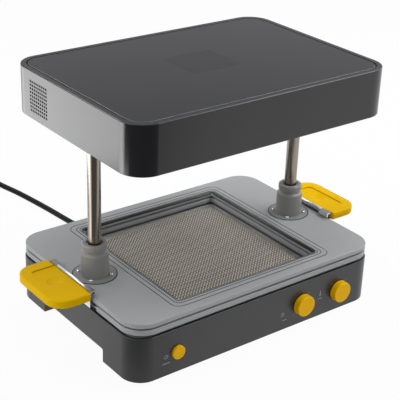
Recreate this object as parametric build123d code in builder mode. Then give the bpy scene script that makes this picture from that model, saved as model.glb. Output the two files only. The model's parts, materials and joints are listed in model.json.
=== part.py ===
"""Hobby vacuum forming machine: a base with a mesh forming bed, two clamping
trays that ride on a pair of columns, and a heater head on top.

Frame: millimetres, +X to the machine's right, +Y to its back, +Z up. The origin
is on the table, midway between the two columns.
"""

from build123d import *
from math import cos, dist, pi, radians, sin, tan
import os

os.makedirs("parts", exist_ok=True)

# ---------------------------------------------------------------- base
foot_height = 3.0
foot_diameter = 18.0
machine_width = 370.0
machine_depth = 264.0
base_height = 58.0
base_corner = 26.0
base_wall = 3.0
base_edge_round = 0.8
arch_length = 134.0
arch_height = 17.0
arch_round = 2.5
foot_chamfer = 0.6
foot_block_width = 42.0
pan_thickness = 1.5
pan_slot_length = 50.0
pan_slot_width = 3.0
pan_slot_pitch = 9.0
pan_slot_count = 6
deck_thickness = 2.4
deck_drop = 0.4
dish_thickness = 1.5

# ---------------------------------------------------------------- forming bed
bed_size = 200.0
mesh_thickness = 1.0
mesh_hole = 7.4
mesh_pitch = 13.0
plateau_border = 3.5
plateau_height = 1.4
bed_ledge = 3.0
bed_seal_width = 5.0
bed_seal_margin = 2.0
dish_margin = 1.0
rib_thickness = 1.4
rib_pitch = 50.0

# ---------------------------------------------------------------- trays
tray_corner = 29.0
lower_tray_thickness = 7.1
upper_tray_thickness = 5.6
base_to_tray = 3.2
tray_gap = 2.5
opening_clearance = 0.5
opening_corner = 2.5
upper_roll = 4.2
lower_roll = 3.0
under_roll = 1.6
tray_edge_round = 1.1
# distance of each groove from the opening, and its corner radius
ring_grooves = ((16.0, 12.0), (9.5, 8.0), (5.5, 5.0))
ring_groove_width = 1.0
ring_groove_depth = 0.9
gasket_width = 5.0
gasket_margin = 4.0
gasket_height = 1.0
tray_stroke = 168.0
tray_float = 2.0

# ---------------------------------------------------------------- columns and collars
column_inset = 32.0
column_diameter = 16.0
column_wall = 1.5
column_top_gap = 2.0
running_clearance = 0.05
seat_clearance = 0.05
loose_clearance = 0.3
bush_wall = 2.1
socket_diameter = 30.0
socket_height = 28.0
collar_flange_diameter = 52.0
collar_flange_thickness = 2.8
collar_recess_clearance = 1.5
collar_recess_depth = 2.4
collar_height = 42.2
collar_foot_radius = 17.3
collar_body_radius = 16.6
collar_body_top = 29.0
collar_neck_radius = 13.8
collar_neck_bottom = 31.4
collar_neck_top = 33.8
collar_lip_radius = 15.2
collar_lip_bottom = 35.4
collar_lip_round = 1.2
collar_shoulder_round = 1.0
collar_bush_length = 46.0
collar_screw_circle = 40.0
collar_screw_head = 4.6
collar_screw_head_height = 1.2
collar_screw_shank = 2.4
collar_screw_length = 4.2

# ---------------------------------------------------------------- latches
latch_pin_diameter = 3.0
latch_pin_inset = 2.0
latch_pin_seat = 6.0
notch_clearance = 8.0
notch_depth = 6.0
bracket_length = 92.0
bracket_thickness = 1.5
bracket_gap = 2.0
bracket_bottom_below_pin = 2.1
bracket_top_above_tray = 7.6
tab_length = 16.0
tab_reach = 7.5
ear_thickness = 2.0
ear_inset = 4.0
ear_radius = 3.2
ear_lift = 1.0
tongue_length = 56.0
tongue_reach = 37.0
handle_thickness = 10.0
handle_gap = 0.2
handle_projection = 51.0
handle_length = 99.0
handle_outer_corner = 22.0
handle_inner_corner = 2.5
handle_top_round = 2.2
handle_bottom_round = 1.2
grip_recess_end_margin = 16.5
grip_recess_outer_margin = 14.5
grip_recess_depth = 1.4
grip_recess_corner = 6.0
dimple_radius = 30.0
dimple_depth = 1.6
dimple_offset = 4.0
handle_screw_head = 6.0
handle_screw_head_height = 1.4
handle_screw_shank = 3.4
handle_screw_depth = 5.5
handle_screw_spacing = 32.0
handle_screw_reach = 24.0

# ---------------------------------------------------------------- heater head
head_setback = 3.0
head_height = 59.0
head_clearance = 176.6
head_corner = 30.0
head_wall = 3.0
head_edge_round = 0.9
panel_margin = 6.8
panel_gap = 1.8
panel_thickness = 2.4
panel_skin = 2.8
bottom_plate_thickness = 2.4
reflector_wall = 1.0
reflector_height = 38.0
reflector_lip = 3.0
insulation_thickness = 9.0
heater_tile_gap = 5.0
heater_tile_margin = 5.5
heater_tile_thickness = 9.0
heater_tile_drop = 10.0
heater_tile_corner = 4.0
heater_post_diameter = 9.0
guard_wire = 2.0
guard_pitch = 34.0
guard_frame = 3.0
well_wall = 2.0
well_clearance = 1.7
well_headroom = 4.0
clamp_size = 34.0
clamp_height = 9.0
clamp_corner = 3.0

# ---------------------------------------------------------------- fan
fan_size = 40.0
fan_corner = 3.0
fan_depth = 10.0
fan_rim = 1.3
fan_y = 66.5
fan_height = 28.5
fan_hub_radius = 8.0
fan_blade_count = 7
fan_blade_thickness = 1.0
fan_blade_pitch = 35.0
fan_axle_diameter = 2.0
fan_strut_width = 2.5
fan_strut_thickness = 1.5
fan_strut_overlap = 0.5
rotor_front_gap = 0.8
rotor_back_gap = 0.7
blade_root = 0.6
blade_tip_gap = 0.5
grille_margin = 1.0
grille_hole = 3.5
grille_pitch = 4.4
grille_count = 9

# ---------------------------------------------------------------- controls
control_z = 30.0
knob_diameter = 27.5
knob_depth = 8.4
knob_wall_gap = 0.6
knob_edge_round = 1.0
knob_taper = 1.5
knob_positions = {"timer": 65.0, "temperature": 126.0}
shaft_diameter = 6.0
shaft_hole_clearance = 0.6
pot_size = 16.0
pot_depth = 8.0
pot_corner = 2.0
board_thickness = 1.6
board_width = 130.0
board_height = 32.0
board_from_wall = 10.0
button_x = -125.0
button_diameter = 17.0
button_stand_out = 3.5
button_travel = 2.5
button_lug_reach = 1.5
button_lug_depth = 1.5
button_lug_height = 12.0
button_stem_diameter = 5.0
button_stem_length = 6.0
switch_width = 20.0
switch_depth = 12.0
switch_height = 20.0
button_edge_round = 0.8

# ---------------------------------------------------------------- vacuum and power at the back
port_bore = 32.0
port_wall = 3.0
port_flange_rim = 2.0
hose_stop = 1.0
duct_wall = 2.5
port_flange_thickness = 3.0
port_reach = 9.0
port_chamfer = 1.0
outlet_x = 100.0
outlet_z = 38.0
outlet_width = 40.0
outlet_height = 30.0
outlet_face = 2.5
outlet_corner = 3.0
outlet_body_width = 28.0
outlet_body_height = 22.0
outlet_body_depth = 22.0
outlet_slot_width = 2.4
outlet_slot_height = 4.6
outlet_slot_depth = 14.0
outlet_slot_spacing = 14.0
outlet_slot_drop = 2.0
outlet_earth_rise = 3.0
power_board_width = 80.0
power_board_depth = 62.0
power_board_inset = 67.0
power_board_y = 60.0
standoff_inset = 5.0
# relay, supply and fuse holder: place on the board, then size in plan
board_parts = ((-24.0, -10.0, 24.0, 30.0), (8.0, -10.0, 20.0, 24.0), (12.0, 20.0, 34.0, 10.0))
board_part_height = 15.0
standoff_height = 4.0
standoff_diameter = 6.0
screw_diameter = 6.0
screw_head_height = 1.6
screw_shank = 3.0
screw_length = 8.0
screw_inset = 26.0

# ---------------------------------------------------------------- mains cord
cord_diameter = 8.0
cord_x = -33.0
cord_z = 32.0
relief_flange_rim = 2.0
relief_flange_thickness = 2.5
relief_root_wall = 3.0
relief_tip_wall = 1.0
relief_length = 38.0
cord_clearance = 0.05
coil_start = (-56.0, 470.0)
coil_outer_radius = 56.0
coil_turn_gap = 0.6
coil_in_turns = 4
coil_out_turns = 3
coil_tail = 36.0
plug_width = 32.0
plug_height = 25.0
plug_length = 34.0
plug_corner = 8.0
plug_edge_round = 1.5
plug_shoulder_radius = 9.5
plug_neck_radius = 6.5
plug_neck_length = 14.0
blade_width = 6.3
blade_thickness = 1.5
blade_length = 17.0
blade_spacing = 12.7
blade_rise = 3.0
earth_pin_diameter = 4.8
earth_pin_length = 20.0
earth_pin_drop = 11.9

# ---------------------------------------------------------------- levels and places
tray_opening = bed_size + 2 * (plateau_border + opening_clearance)
heater_opening = tray_opening
head_width = machine_width
head_depth = machine_depth - 2 * head_setback
base_bottom = foot_height
base_top = base_bottom + base_height
front_y = -machine_depth / 2
back_y = machine_depth / 2
side_x = machine_width / 2
pan_bottom = base_bottom + arch_height
pan_top = pan_bottom + pan_thickness
deck_top = base_top - deck_drop
deck_bottom = deck_top - deck_thickness
plateau_top = deck_top + plateau_height
lower_bottom = base_top + base_to_tray
lower_top = lower_bottom + lower_tray_thickness
upper_bottom = lower_top + tray_gap
upper_top = upper_bottom + upper_tray_thickness
column_x = side_x - column_inset
column_radius = column_diameter / 2
bush_radius = column_radius + running_clearance
bush_outer_radius = bush_radius + bush_wall
tray_bore_radius = bush_outer_radius + seat_clearance
head_bottom = upper_top + head_clearance
head_top = head_bottom + head_height
head_skin_bottom = head_top - panel_thickness - panel_skin
column_top = head_skin_bottom - column_top_gap
pin_x = side_x - latch_pin_inset
pin_z = (lower_bottom + lower_top) / 2
bracket_inner_x = side_x + bracket_gap
bracket_outer_x = bracket_inner_x + bracket_thickness
bracket_top = upper_top + bracket_top_above_tray
bracket_bottom = pin_z - bracket_bottom_below_pin
handle_top = bracket_top
handle_bottom = handle_top - handle_thickness
handle_inner_x = bracket_outer_x + handle_gap
handle_reach = side_x + handle_projection
dish_top = deck_bottom
dish_bottom = dish_top - dish_thickness
duct_bore = port_bore - 2 * hose_stop
duct_diameter = duct_bore + 2 * duct_wall
duct_z = dish_bottom - duct_diameter / 2
plate_top = head_bottom + bottom_plate_thickness
well_radius = collar_foot_radius + well_clearance
collar_top = upper_top + collar_height
well_top = collar_top + tray_stroke + well_headroom
reflector_top = plate_top + reflector_height
sides = (("left", -1), ("right", 1))


def save(part, label):
    """Label a finished piece and write its file."""
    part.label = label
    export_step(part, f"parts/{label}.step")


def column_points():
    """The two column centres in plan."""
    return [(-column_x, 0), (column_x, 0)]


def rounded_slab(width, depth, corner, bottom, height):
    """Add a slab with rounded corners to the part being built."""
    with BuildSketch(Plane.XY.offset(bottom)) as slab:
        RectangleRounded(width, depth, corner)
    extrude(slab.sketch, amount=height)


def rounded_frame(outer, inner, corner, bottom, height, mode=Mode.ADD):
    """Add or cut a square ring with rounded corners."""
    with BuildSketch(Plane.XY.offset(bottom)) as ring:
        RectangleRounded(outer, outer, corner)
        RectangleRounded(inner, inner, max(corner - (outer - inner) / 2, 0.3), mode=Mode.SUBTRACT)
    extrude(ring.sketch, amount=height, mode=mode)


def round_holes(points, radius, bottom, height):
    """Cut upright round holes at the given places."""
    with BuildSketch(Plane.XY.offset(bottom)) as holes:
        with Locations(*points):
            Circle(radius)
    extrude(holes.sketch, amount=height, mode=Mode.SUBTRACT)


# ================================================================ base casing
shaft_hole_radius = shaft_diameter / 2 + shaft_hole_clearance
port_radius = port_bore / 2 + port_wall
cord_radius = cord_diameter / 2
relief_root_radius = cord_radius + relief_root_wall
inner_width = machine_width - 2 * base_wall
inner_depth = machine_depth - 2 * base_wall
pan_width = inner_width - 2 * loose_clearance
pan_depth = inner_depth - 2 * loose_clearance
pan_corner = base_corner - base_wall - loose_clearance
screw_points = [
    (i * (side_x - screw_inset), j * (back_y - screw_inset)) for i in (-1, 1) for j in (-1, 1)
]
screw_hole_bottom = pan_top - screw_length - loose_clearance
# the plinth: a foot block at each corner, joined by a skirt at the front and at the back
with BuildPart() as base_plinth:
    rounded_slab(machine_width, machine_depth, base_corner, base_bottom, arch_height)
    # the open channel under the floor pan
    with BuildSketch(Plane.XY.offset(base_bottom)):
        Rectangle(machine_width - 2 * foot_block_width, inner_depth)
    extrude(amount=arch_height, mode=Mode.SUBTRACT)
    # the arch between the feet at each side
    with BuildSketch(Plane.YZ.offset(-side_x)):
        with Locations((0, base_bottom)):
            RectangleRounded(arch_length, 2 * arch_height, arch_round)
    extrude(amount=machine_width, mode=Mode.SUBTRACT)
    # blind holes in the feet for the floor pan's screws
    round_holes(screw_points, screw_shank / 2 + seat_clearance, screw_hole_bottom, screw_length)
save(base_plinth.part, "base_plinth")

with BuildPart() as base_housing:
    rounded_slab(machine_width, machine_depth, base_corner, pan_bottom, base_top - pan_bottom)
    fillet(base_housing.edges().group_by(Axis.Z)[-1], radius=base_edge_round)
    with BuildSketch(Plane.XY.offset(pan_bottom)):
        RectangleRounded(inner_width, inner_depth, base_corner - base_wall)
    extrude(amount=base_height, mode=Mode.SUBTRACT)
    # control holes in the front wall
    with BuildSketch(Plane.XZ.offset(-front_y)):
        with Locations(*[(x, control_z) for x in knob_positions.values()]):
            Circle(shaft_hole_radius)
        with Locations((button_x, control_z)):
            Circle(button_diameter / 2 + loose_clearance)
    extrude(amount=-base_wall, mode=Mode.SUBTRACT)
    # openings for the hose port, the power outlet and the cord in the back wall
    with BuildSketch(Plane.XZ.offset(-back_y)):
        with Locations((0, duct_z)):
            Circle(port_radius + seat_clearance)
        with Locations((outlet_x, outlet_z)):
            Rectangle(outlet_body_width, outlet_body_height)
        with Locations((cord_x, cord_z)):
            Circle(relief_root_radius + seat_clearance)
    extrude(amount=base_wall, mode=Mode.SUBTRACT)
save(base_housing.part, "base_housing")

with BuildPart() as base_floor_pan:
    rounded_slab(pan_width, pan_depth, pan_corner, pan_bottom, pan_thickness)
    round_holes(screw_points, screw_shank / 2 + seat_clearance, pan_bottom, pan_thickness)
    # cooling slots at the electronics' side
    with BuildSketch(Plane.XY.offset(pan_bottom)):
        with Locations((side_x - power_board_inset, -power_board_y)):
            with GridLocations(0, pan_slot_pitch, 1, pan_slot_count):
                SlotOverall(pan_slot_length, pan_slot_width)
    extrude(amount=pan_thickness, mode=Mode.SUBTRACT)
save(base_floor_pan.part, "base_floor_pan")

with BuildPart() as base_screws:
    with BuildSketch(Plane.XY.offset(pan_top)):
        with Locations(*screw_points):
            Circle(screw_diameter / 2)
    extrude(amount=screw_head_height)
    with BuildSketch(Plane.XY.offset(pan_top)):
        with Locations(*screw_points):
            Circle(screw_shank / 2)
    extrude(amount=-screw_length)
save(base_screws.part, "base_screws")

with BuildPart() as rubber_feet:
    with BuildSketch():
        with Locations(*screw_points):
            Circle(foot_diameter / 2)
    extrude(amount=foot_height)
    chamfer(rubber_feet.edges().group_by(Axis.Z)[0], length=foot_chamfer)
save(rubber_feet.part, "rubber_feet")

# ================================================================ forming bed
plateau_size = bed_size + 2 * plateau_border
with BuildPart() as bed_deck:
    rounded_slab(pan_width, pan_depth, pan_corner, deck_bottom, deck_thickness)
    rounded_slab(plateau_size, plateau_size, opening_corner, deck_top, plateau_height)
    with BuildSketch(Plane.XY.offset(deck_bottom)):
        Rectangle(bed_size - 2 * bed_ledge, bed_size - 2 * bed_ledge)
    extrude(amount=deck_thickness + plateau_height, mode=Mode.SUBTRACT)
    round_holes(column_points(), column_radius + loose_clearance, deck_bottom, deck_thickness)
save(bed_deck.part, "bed_deck")

mesh_count = int(bed_size / mesh_pitch)
with BuildPart() as forming_mesh:
    with BuildSketch(Plane.XY.offset(plateau_top)):
        Rectangle(bed_size, bed_size)
        with GridLocations(mesh_pitch, mesh_pitch, mesh_count, mesh_count):
            Rectangle(mesh_hole, mesh_hole, rotation=45, mode=Mode.SUBTRACT)
    extrude(amount=mesh_thickness)
save(forming_mesh.part, "forming_mesh")

# a shallow dish under the mesh gathers the air to one hole in its middle
dish_size = bed_size - 2 * bed_ledge
dish_outer = dish_size + 2 * (bed_ledge + dish_margin)
rib_height = plateau_top - dish_top
rib_count = int(dish_size / rib_pitch)
with BuildPart() as vacuum_dish:
    with BuildSketch(Plane.XY.offset(dish_bottom)):
        RectangleRounded(dish_outer, dish_outer, opening_corner)
    extrude(amount=dish_thickness)
    with BuildSketch(Plane.XY.offset(dish_top)):
        with GridLocations(rib_pitch, 0, rib_count, 1):
            Rectangle(rib_thickness, dish_size - 2 * bed_ledge)
        with GridLocations(0, rib_pitch, 1, rib_count):
            Rectangle(dish_size - 2 * bed_ledge, rib_thickness)
        Circle(duct_bore / 2 + bed_ledge, mode=Mode.SUBTRACT)
    extrude(amount=rib_height)
    round_holes([(0, 0)], duct_bore / 2, dish_bottom, dish_thickness)
save(vacuum_dish.part, "vacuum_dish")

with BuildPart() as vacuum_duct:
    Cylinder(duct_diameter / 2, dish_bottom - duct_z, align=(Align.CENTER, Align.CENTER, Align.MIN))
    Sphere(duct_diameter / 2)
    with BuildSketch(Plane.XZ):
        Circle(duct_diameter / 2)
    extrude(amount=-(back_y - base_wall))
    Sphere(duct_bore / 2, mode=Mode.SUBTRACT)
    Cylinder(
        duct_bore / 2,
        dish_bottom - duct_z,
        align=(Align.CENTER, Align.CENTER, Align.MIN),
        mode=Mode.SUBTRACT,
    )
    with BuildSketch(Plane.XZ):
        Circle(duct_bore / 2)
    extrude(amount=-(back_y - base_wall), mode=Mode.SUBTRACT)
save(vacuum_duct.part.moved(Location((0, 0, duct_z))), "vacuum_duct")

with BuildPart() as vacuum_port:
    with BuildSketch(Plane.XZ.offset(base_wall - back_y)):
        with Locations((0, duct_z)):
            Circle(port_radius)
    extrude(amount=-(base_wall + port_reach))
    with BuildSketch(Plane.XZ.offset(-back_y)):
        with Locations((0, duct_z)):
            Circle(port_radius + port_flange_rim)
    extrude(amount=-port_flange_thickness)
    chamfer(vacuum_port.edges().group_by(Axis.Y)[-1], length=port_chamfer)
    with BuildSketch(Plane.XZ.offset(base_wall - back_y)):
        with Locations((0, duct_z)):
            Circle(port_bore / 2)
    extrude(amount=-(base_wall + port_reach), mode=Mode.SUBTRACT)
save(vacuum_port.part, "vacuum_port")

bed_seal_inner = tray_opening + 2 * bed_seal_margin
with BuildPart() as bed_seal:
    rounded_frame(
        bed_seal_inner + 2 * bed_seal_width,
        bed_seal_inner,
        opening_corner + bed_seal_width,
        deck_top,
        lower_bottom - loose_clearance - deck_top,
    )
save(bed_seal.part, "bed_seal")

# ================================================================ columns
for name, sign in sides:
    with BuildPart() as column:
        with BuildSketch(Plane.XY.offset(pan_top)):
            with Locations((sign * column_x, 0)):
                Circle(column_radius)
                Circle(column_radius - column_wall, mode=Mode.SUBTRACT)
        extrude(amount=column_top - pan_top)
    save(column.part, f"column_{name}")

with BuildPart() as column_sockets:
    with BuildSketch(Plane.XY.offset(pan_top)):
        with Locations(*column_points()):
            Circle(socket_diameter / 2)
            Circle(column_radius + seat_clearance, mode=Mode.SUBTRACT)
    extrude(amount=socket_height)
save(column_sockets.part, "column_sockets")

# ================================================================ lower tray
notch_x = side_x - notch_depth / 2
notch_length = bracket_length + 2 * notch_clearance
with BuildPart() as lower_tray:
    rounded_slab(machine_width, machine_depth, tray_corner, lower_bottom, lower_tray_thickness)
    fillet(lower_tray.edges().group_by(Axis.Z)[-1], radius=tray_edge_round)
    fillet(lower_tray.edges().group_by(Axis.Z)[0], radius=tray_edge_round)
    with BuildSketch(Plane.XY.offset(lower_bottom)):
        RectangleRounded(tray_opening, tray_opening, opening_corner)
    extrude(amount=lower_tray_thickness, mode=Mode.SUBTRACT)
    inner_edges = lower_tray.edges().filter_by_position(Axis.X, -tray_opening / 2, tray_opening / 2)
    inner_edges = inner_edges.filter_by_position(Axis.Y, -tray_opening / 2, tray_opening / 2)
    fillet(inner_edges.group_by(Axis.Z)[-1], radius=lower_roll)
    fillet(inner_edges.group_by(Axis.Z)[0], radius=under_roll)
    # a notch at each side, where the latch bracket turns on its pin
    with BuildSketch(Plane.XY.offset(lower_bottom)):
        with Locations((-notch_x, 0), (notch_x, 0)):
            Rectangle(notch_depth, notch_length)
    extrude(amount=lower_tray_thickness, mode=Mode.SUBTRACT)
    round_holes(column_points(), tray_bore_radius, lower_bottom, lower_tray_thickness)
    with BuildSketch(Plane.XZ.offset(-notch_length / 2 - latch_pin_seat)):
        with Locations((-pin_x, pin_z), (pin_x, pin_z)):
            Circle(latch_pin_diameter / 2 + seat_clearance)
    extrude(amount=notch_length + 2 * latch_pin_seat, mode=Mode.SUBTRACT)
save(lower_tray.part, "lower_tray")

with BuildPart() as latch_pins:
    with BuildSketch(Plane.XZ.offset(-notch_length / 2 - latch_pin_seat)):
        with Locations((-pin_x, pin_z), (pin_x, pin_z)):
            Circle(latch_pin_diameter / 2)
    extrude(amount=notch_length + 2 * latch_pin_seat)
save(latch_pins.part, "latch_pins")

gasket_inner = tray_opening + 2 * gasket_margin
gasket_outer = gasket_inner + 2 * gasket_width
with BuildPart() as lower_gasket:
    rounded_frame(gasket_outer, gasket_inner, opening_corner + gasket_width, lower_top, gasket_height)
save(lower_gasket.part, "lower_gasket")

with BuildPart() as tray_bushes:
    with BuildSketch(Plane.XY.offset(lower_bottom)):
        with Locations(*column_points()):
            Circle(bush_outer_radius)
            Circle(bush_radius, mode=Mode.SUBTRACT)
    extrude(amount=lower_tray_thickness)
save(tray_bushes.part, "tray_bushes")

# ================================================================ upper tray
collar_screw_points = [
    (sign * column_x + collar_screw_circle / 2 * cos(radians(a)), collar_screw_circle / 2 * sin(radians(a)))
    for _, sign in sides
    for a in (45, 135, 225, 315)
]
flange_bottom = upper_top - collar_recess_depth
flange_top = flange_bottom + collar_flange_thickness
screw_tip = flange_top - collar_screw_length
screw_hole_radius = collar_screw_shank / 2 + seat_clearance
with BuildPart() as upper_tray:
    rounded_slab(machine_width, machine_depth, tray_corner, upper_bottom, upper_tray_thickness)
    fillet(upper_tray.edges().group_by(Axis.Z)[-1], radius=tray_edge_round)
    with BuildSketch(Plane.XY.offset(upper_bottom)):
        RectangleRounded(tray_opening, tray_opening, opening_corner)
    extrude(amount=upper_tray_thickness, mode=Mode.SUBTRACT)
    inner_edges = upper_tray.edges().filter_by_position(Axis.X, -tray_opening / 2, tray_opening / 2)
    inner_edges = inner_edges.filter_by_position(Axis.Y, -tray_opening / 2, tray_opening / 2)
    fillet(inner_edges.group_by(Axis.Z)[-1], radius=upper_roll)
    # fine grooves round the opening
    for offset, corner in ring_grooves:
        groove_outer = tray_opening + 2 * offset
        rounded_frame(
            groove_outer,
            groove_outer - 2 * ring_groove_width,
            corner,
            upper_top - ring_groove_depth,
            ring_groove_depth,
            mode=Mode.SUBTRACT,
        )
    recess_radius = collar_flange_diameter / 2 + collar_recess_clearance
    round_holes(column_points(), recess_radius, flange_bottom, collar_recess_depth)
    round_holes(column_points(), tray_bore_radius, upper_bottom, upper_tray_thickness)
    round_holes(collar_screw_points, screw_hole_radius, screw_tip, upper_top - screw_tip)
save(upper_tray.part, "upper_tray")

with BuildPart() as upper_gasket:
    rounded_frame(
        gasket_outer,
        gasket_inner,
        opening_corner + gasket_width,
        upper_bottom - (tray_gap - gasket_height - loose_clearance),
        tray_gap - gasket_height - loose_clearance,
    )
save(upper_gasket.part, "upper_gasket")

for name, sign in sides:
    with BuildPart() as collar:
        with BuildSketch(Plane.XZ):
            with BuildLine():
                Polyline(
                    (tray_bore_radius, flange_bottom),
                    (collar_flange_diameter / 2, flange_bottom),
                    (collar_flange_diameter / 2, flange_top),
                    (collar_foot_radius, flange_top),
                    (collar_body_radius, upper_top + collar_body_top),
                    (collar_neck_radius, upper_top + collar_neck_bottom),
                    (collar_neck_radius, upper_top + collar_neck_top),
                    (collar_lip_radius, upper_top + collar_lip_bottom),
                    (collar_lip_radius, collar_top - collar_lip_round),
                    (collar_lip_radius - collar_lip_round, collar_top),
                    (tray_bore_radius, collar_top),
                    close=True,
                )
            make_face()
        revolve(axis=Axis.Z)
        shoulder = collar.edges().filter_by_position(
            Axis.Z, upper_top + collar_body_top - 0.1, upper_top + collar_body_top + 0.1
        )
        fillet(shoulder, radius=collar_shoulder_round)
    placed = collar.part.moved(Location((sign * column_x, 0, 0)))
    with BuildPart() as drilled_collar:
        add(placed)
        own_points = [p for p in collar_screw_points if p[0] * sign > 0]
        round_holes(own_points, screw_hole_radius, flange_bottom, collar_flange_thickness)
    save(drilled_collar.part, f"collar_{name}")

with BuildPart() as collar_bushes:
    with BuildSketch(Plane.XY.offset(upper_bottom)):
        with Locations(*column_points()):
            Circle(bush_outer_radius)
            Circle(bush_radius, mode=Mode.SUBTRACT)
    extrude(amount=collar_bush_length)
save(collar_bushes.part, "collar_bushes")

with BuildPart() as collar_screws:
    with BuildSketch(Plane.XY.offset(flange_top)):
        with Locations(*collar_screw_points):
            Circle(collar_screw_head / 2)
    extrude(amount=collar_screw_head_height)
    with BuildSketch(Plane.XY.offset(flange_top)):
        with Locations(*collar_screw_points):
            Circle(collar_screw_shank / 2)
    extrude(amount=-collar_screw_length)
save(collar_screws.part, "collar_screws")

# ================================================================ latches and handles
ear_y = bracket_length / 2 - ear_inset
tab_tip_x = bracket_outer_x - tab_reach
lip_bottom = upper_top + tray_float + loose_clearance
tongue_end = bracket_outer_x + tongue_reach
handle_screw_x = bracket_outer_x + handle_screw_reach
handle_screw_points = [(handle_screw_x, i * handle_screw_spacing / 2) for i in (-1, 1)]
for name, sign in sides:
    # everything is drawn on the right-hand side and mirrored for the left
    with BuildPart() as bracket:
        with BuildSketch(Plane.YZ.offset(bracket_inner_x)):
            with Locations((0, (bracket_bottom + bracket_top) / 2)):
                Rectangle(bracket_length, bracket_top - bracket_bottom)
        extrude(amount=bracket_thickness)
        # two tabs that reach over the upper tray and end in a turned-down lip
        with BuildSketch(Plane.XZ.offset(-bracket_length / 2)):
            with BuildLine():
                Polyline(
                    (bracket_outer_x, bracket_top),
                    (tab_tip_x, bracket_top),
                    (tab_tip_x, lip_bottom),
                    (tab_tip_x + bracket_thickness, lip_bottom),
                    (tab_tip_x + bracket_thickness, bracket_top - bracket_thickness),
                    (bracket_outer_x, bracket_top - bracket_thickness),
                    close=True,
                )
            make_face()
        extrude(amount=bracket_length)
        with BuildSketch(Plane.XY.offset(lip_bottom)):
            with Locations(((tab_tip_x + bracket_inner_x) / 2, 0)):
                Rectangle(bracket_inner_x - tab_tip_x, bracket_length - 2 * tab_length)
        extrude(amount=bracket_top - lip_bottom, mode=Mode.SUBTRACT)
        # two ears that turn on the pin
        for y in (-ear_y, ear_y):
            with BuildSketch(Plane.XZ.offset(y - ear_thickness / 2)):
                with Locations((pin_x, pin_z)):
                    Circle(ear_radius)
                with Locations(((pin_x + bracket_outer_x) / 2, pin_z + ear_lift)):
                    Rectangle(bracket_outer_x - pin_x, 2 * bracket_bottom_below_pin)
            extrude(amount=ear_thickness)
        with BuildSketch(Plane.XZ.offset(-bracket_length)):
            with Locations((pin_x, pin_z)):
                Circle(latch_pin_diameter / 2 + running_clearance)
        extrude(amount=2 * bracket_length, mode=Mode.SUBTRACT)
        # the tongue that carries the handle
        with BuildSketch(Plane.XY.offset(handle_bottom)):
            with Locations(((bracket_inner_x + tongue_end) / 2, 0)):
                Rectangle(tongue_end - bracket_inner_x, tongue_length)
        extrude(amount=bracket_thickness)
        with BuildSketch(Plane.XY.offset(handle_bottom)):
            with Locations(*handle_screw_points):
                Circle(handle_screw_shank / 2 + seat_clearance)
        extrude(amount=bracket_thickness, mode=Mode.SUBTRACT)

    with BuildPart() as handle:
        with BuildSketch(Plane.XY.offset(handle_bottom)) as handle_outline:
            with BuildLine():
                FilletPolyline(
                    (handle_inner_x, -handle_length / 2),
                    (handle_reach, -handle_length / 2),
                    (handle_reach, handle_length / 2),
                    (handle_inner_x, handle_length / 2),
                    radius=[handle_outer_corner, handle_outer_corner],
                )
                Line((handle_inner_x, handle_length / 2), (handle_inner_x, -handle_length / 2))
            make_face()
        extrude(amount=handle_thickness)
        fillet(handle.edges().filter_by(Axis.Z).group_by(Axis.X)[0], radius=handle_inner_corner)
        fillet(handle.edges().group_by(Axis.Z)[-1], radius=handle_top_round)
        fillet(handle.edges().group_by(Axis.Z)[0], radius=handle_bottom_round)
        # the shallow thumb panel, open towards the tray
        panel_reach = handle_reach - grip_recess_outer_margin
        panel_length = handle_length - 2 * grip_recess_end_margin
        with BuildSketch(Plane.XY.offset(handle_top)):
            with BuildLine():
                FilletPolyline(
                    (bracket_outer_x, -panel_length / 2),
                    (panel_reach, -panel_length / 2),
                    (panel_reach, panel_length / 2),
                    (bracket_outer_x, panel_length / 2),
                    radius=[grip_recess_corner, grip_recess_corner],
                )
                Line((bracket_outer_x, panel_length / 2), (bracket_outer_x, -panel_length / 2))
            make_face()
        extrude(amount=-grip_recess_depth, mode=Mode.SUBTRACT)
        dimple_x = (handle_inner_x + handle_reach) / 2 - dimple_offset
        dimple_z = handle_top - grip_recess_depth - dimple_depth + dimple_radius
        with Locations((dimple_x, 0, dimple_z)):
            Sphere(dimple_radius, mode=Mode.SUBTRACT)
        # the pocket for the bracket's tongue, and the screw holes
        with BuildSketch(Plane.XY.offset(handle_bottom)):
            pocket_end = tongue_end + handle_gap
            with Locations(((bracket_outer_x + pocket_end) / 2, 0)):
                Rectangle(pocket_end - bracket_outer_x, tongue_length + 2 * handle_gap)
        extrude(amount=bracket_thickness, mode=Mode.SUBTRACT)
        with BuildSketch(Plane.XY.offset(handle_bottom)):
            with Locations(*handle_screw_points):
                Circle(handle_screw_shank / 2 + seat_clearance)
        extrude(amount=bracket_thickness + handle_screw_depth, mode=Mode.SUBTRACT)

    with BuildPart() as handle_screws:
        with BuildSketch(Plane.XY.offset(handle_bottom)):
            with Locations(*handle_screw_points):
                Circle(handle_screw_head / 2)
        extrude(amount=-handle_screw_head_height)
        with BuildSketch(Plane.XY.offset(handle_bottom)):
            with Locations(*handle_screw_points):
                Circle(handle_screw_shank / 2)
        extrude(amount=bracket_thickness + handle_screw_depth)

    for piece, label in ((bracket, "latch_bracket"), (handle, "handle"), (handle_screws, "handle_screws")):
        shape = piece.part if sign > 0 else mirror(piece.part, about=Plane.YZ, mode=Mode.PRIVATE)
        save(shape, f"{label}_{name}")

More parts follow.
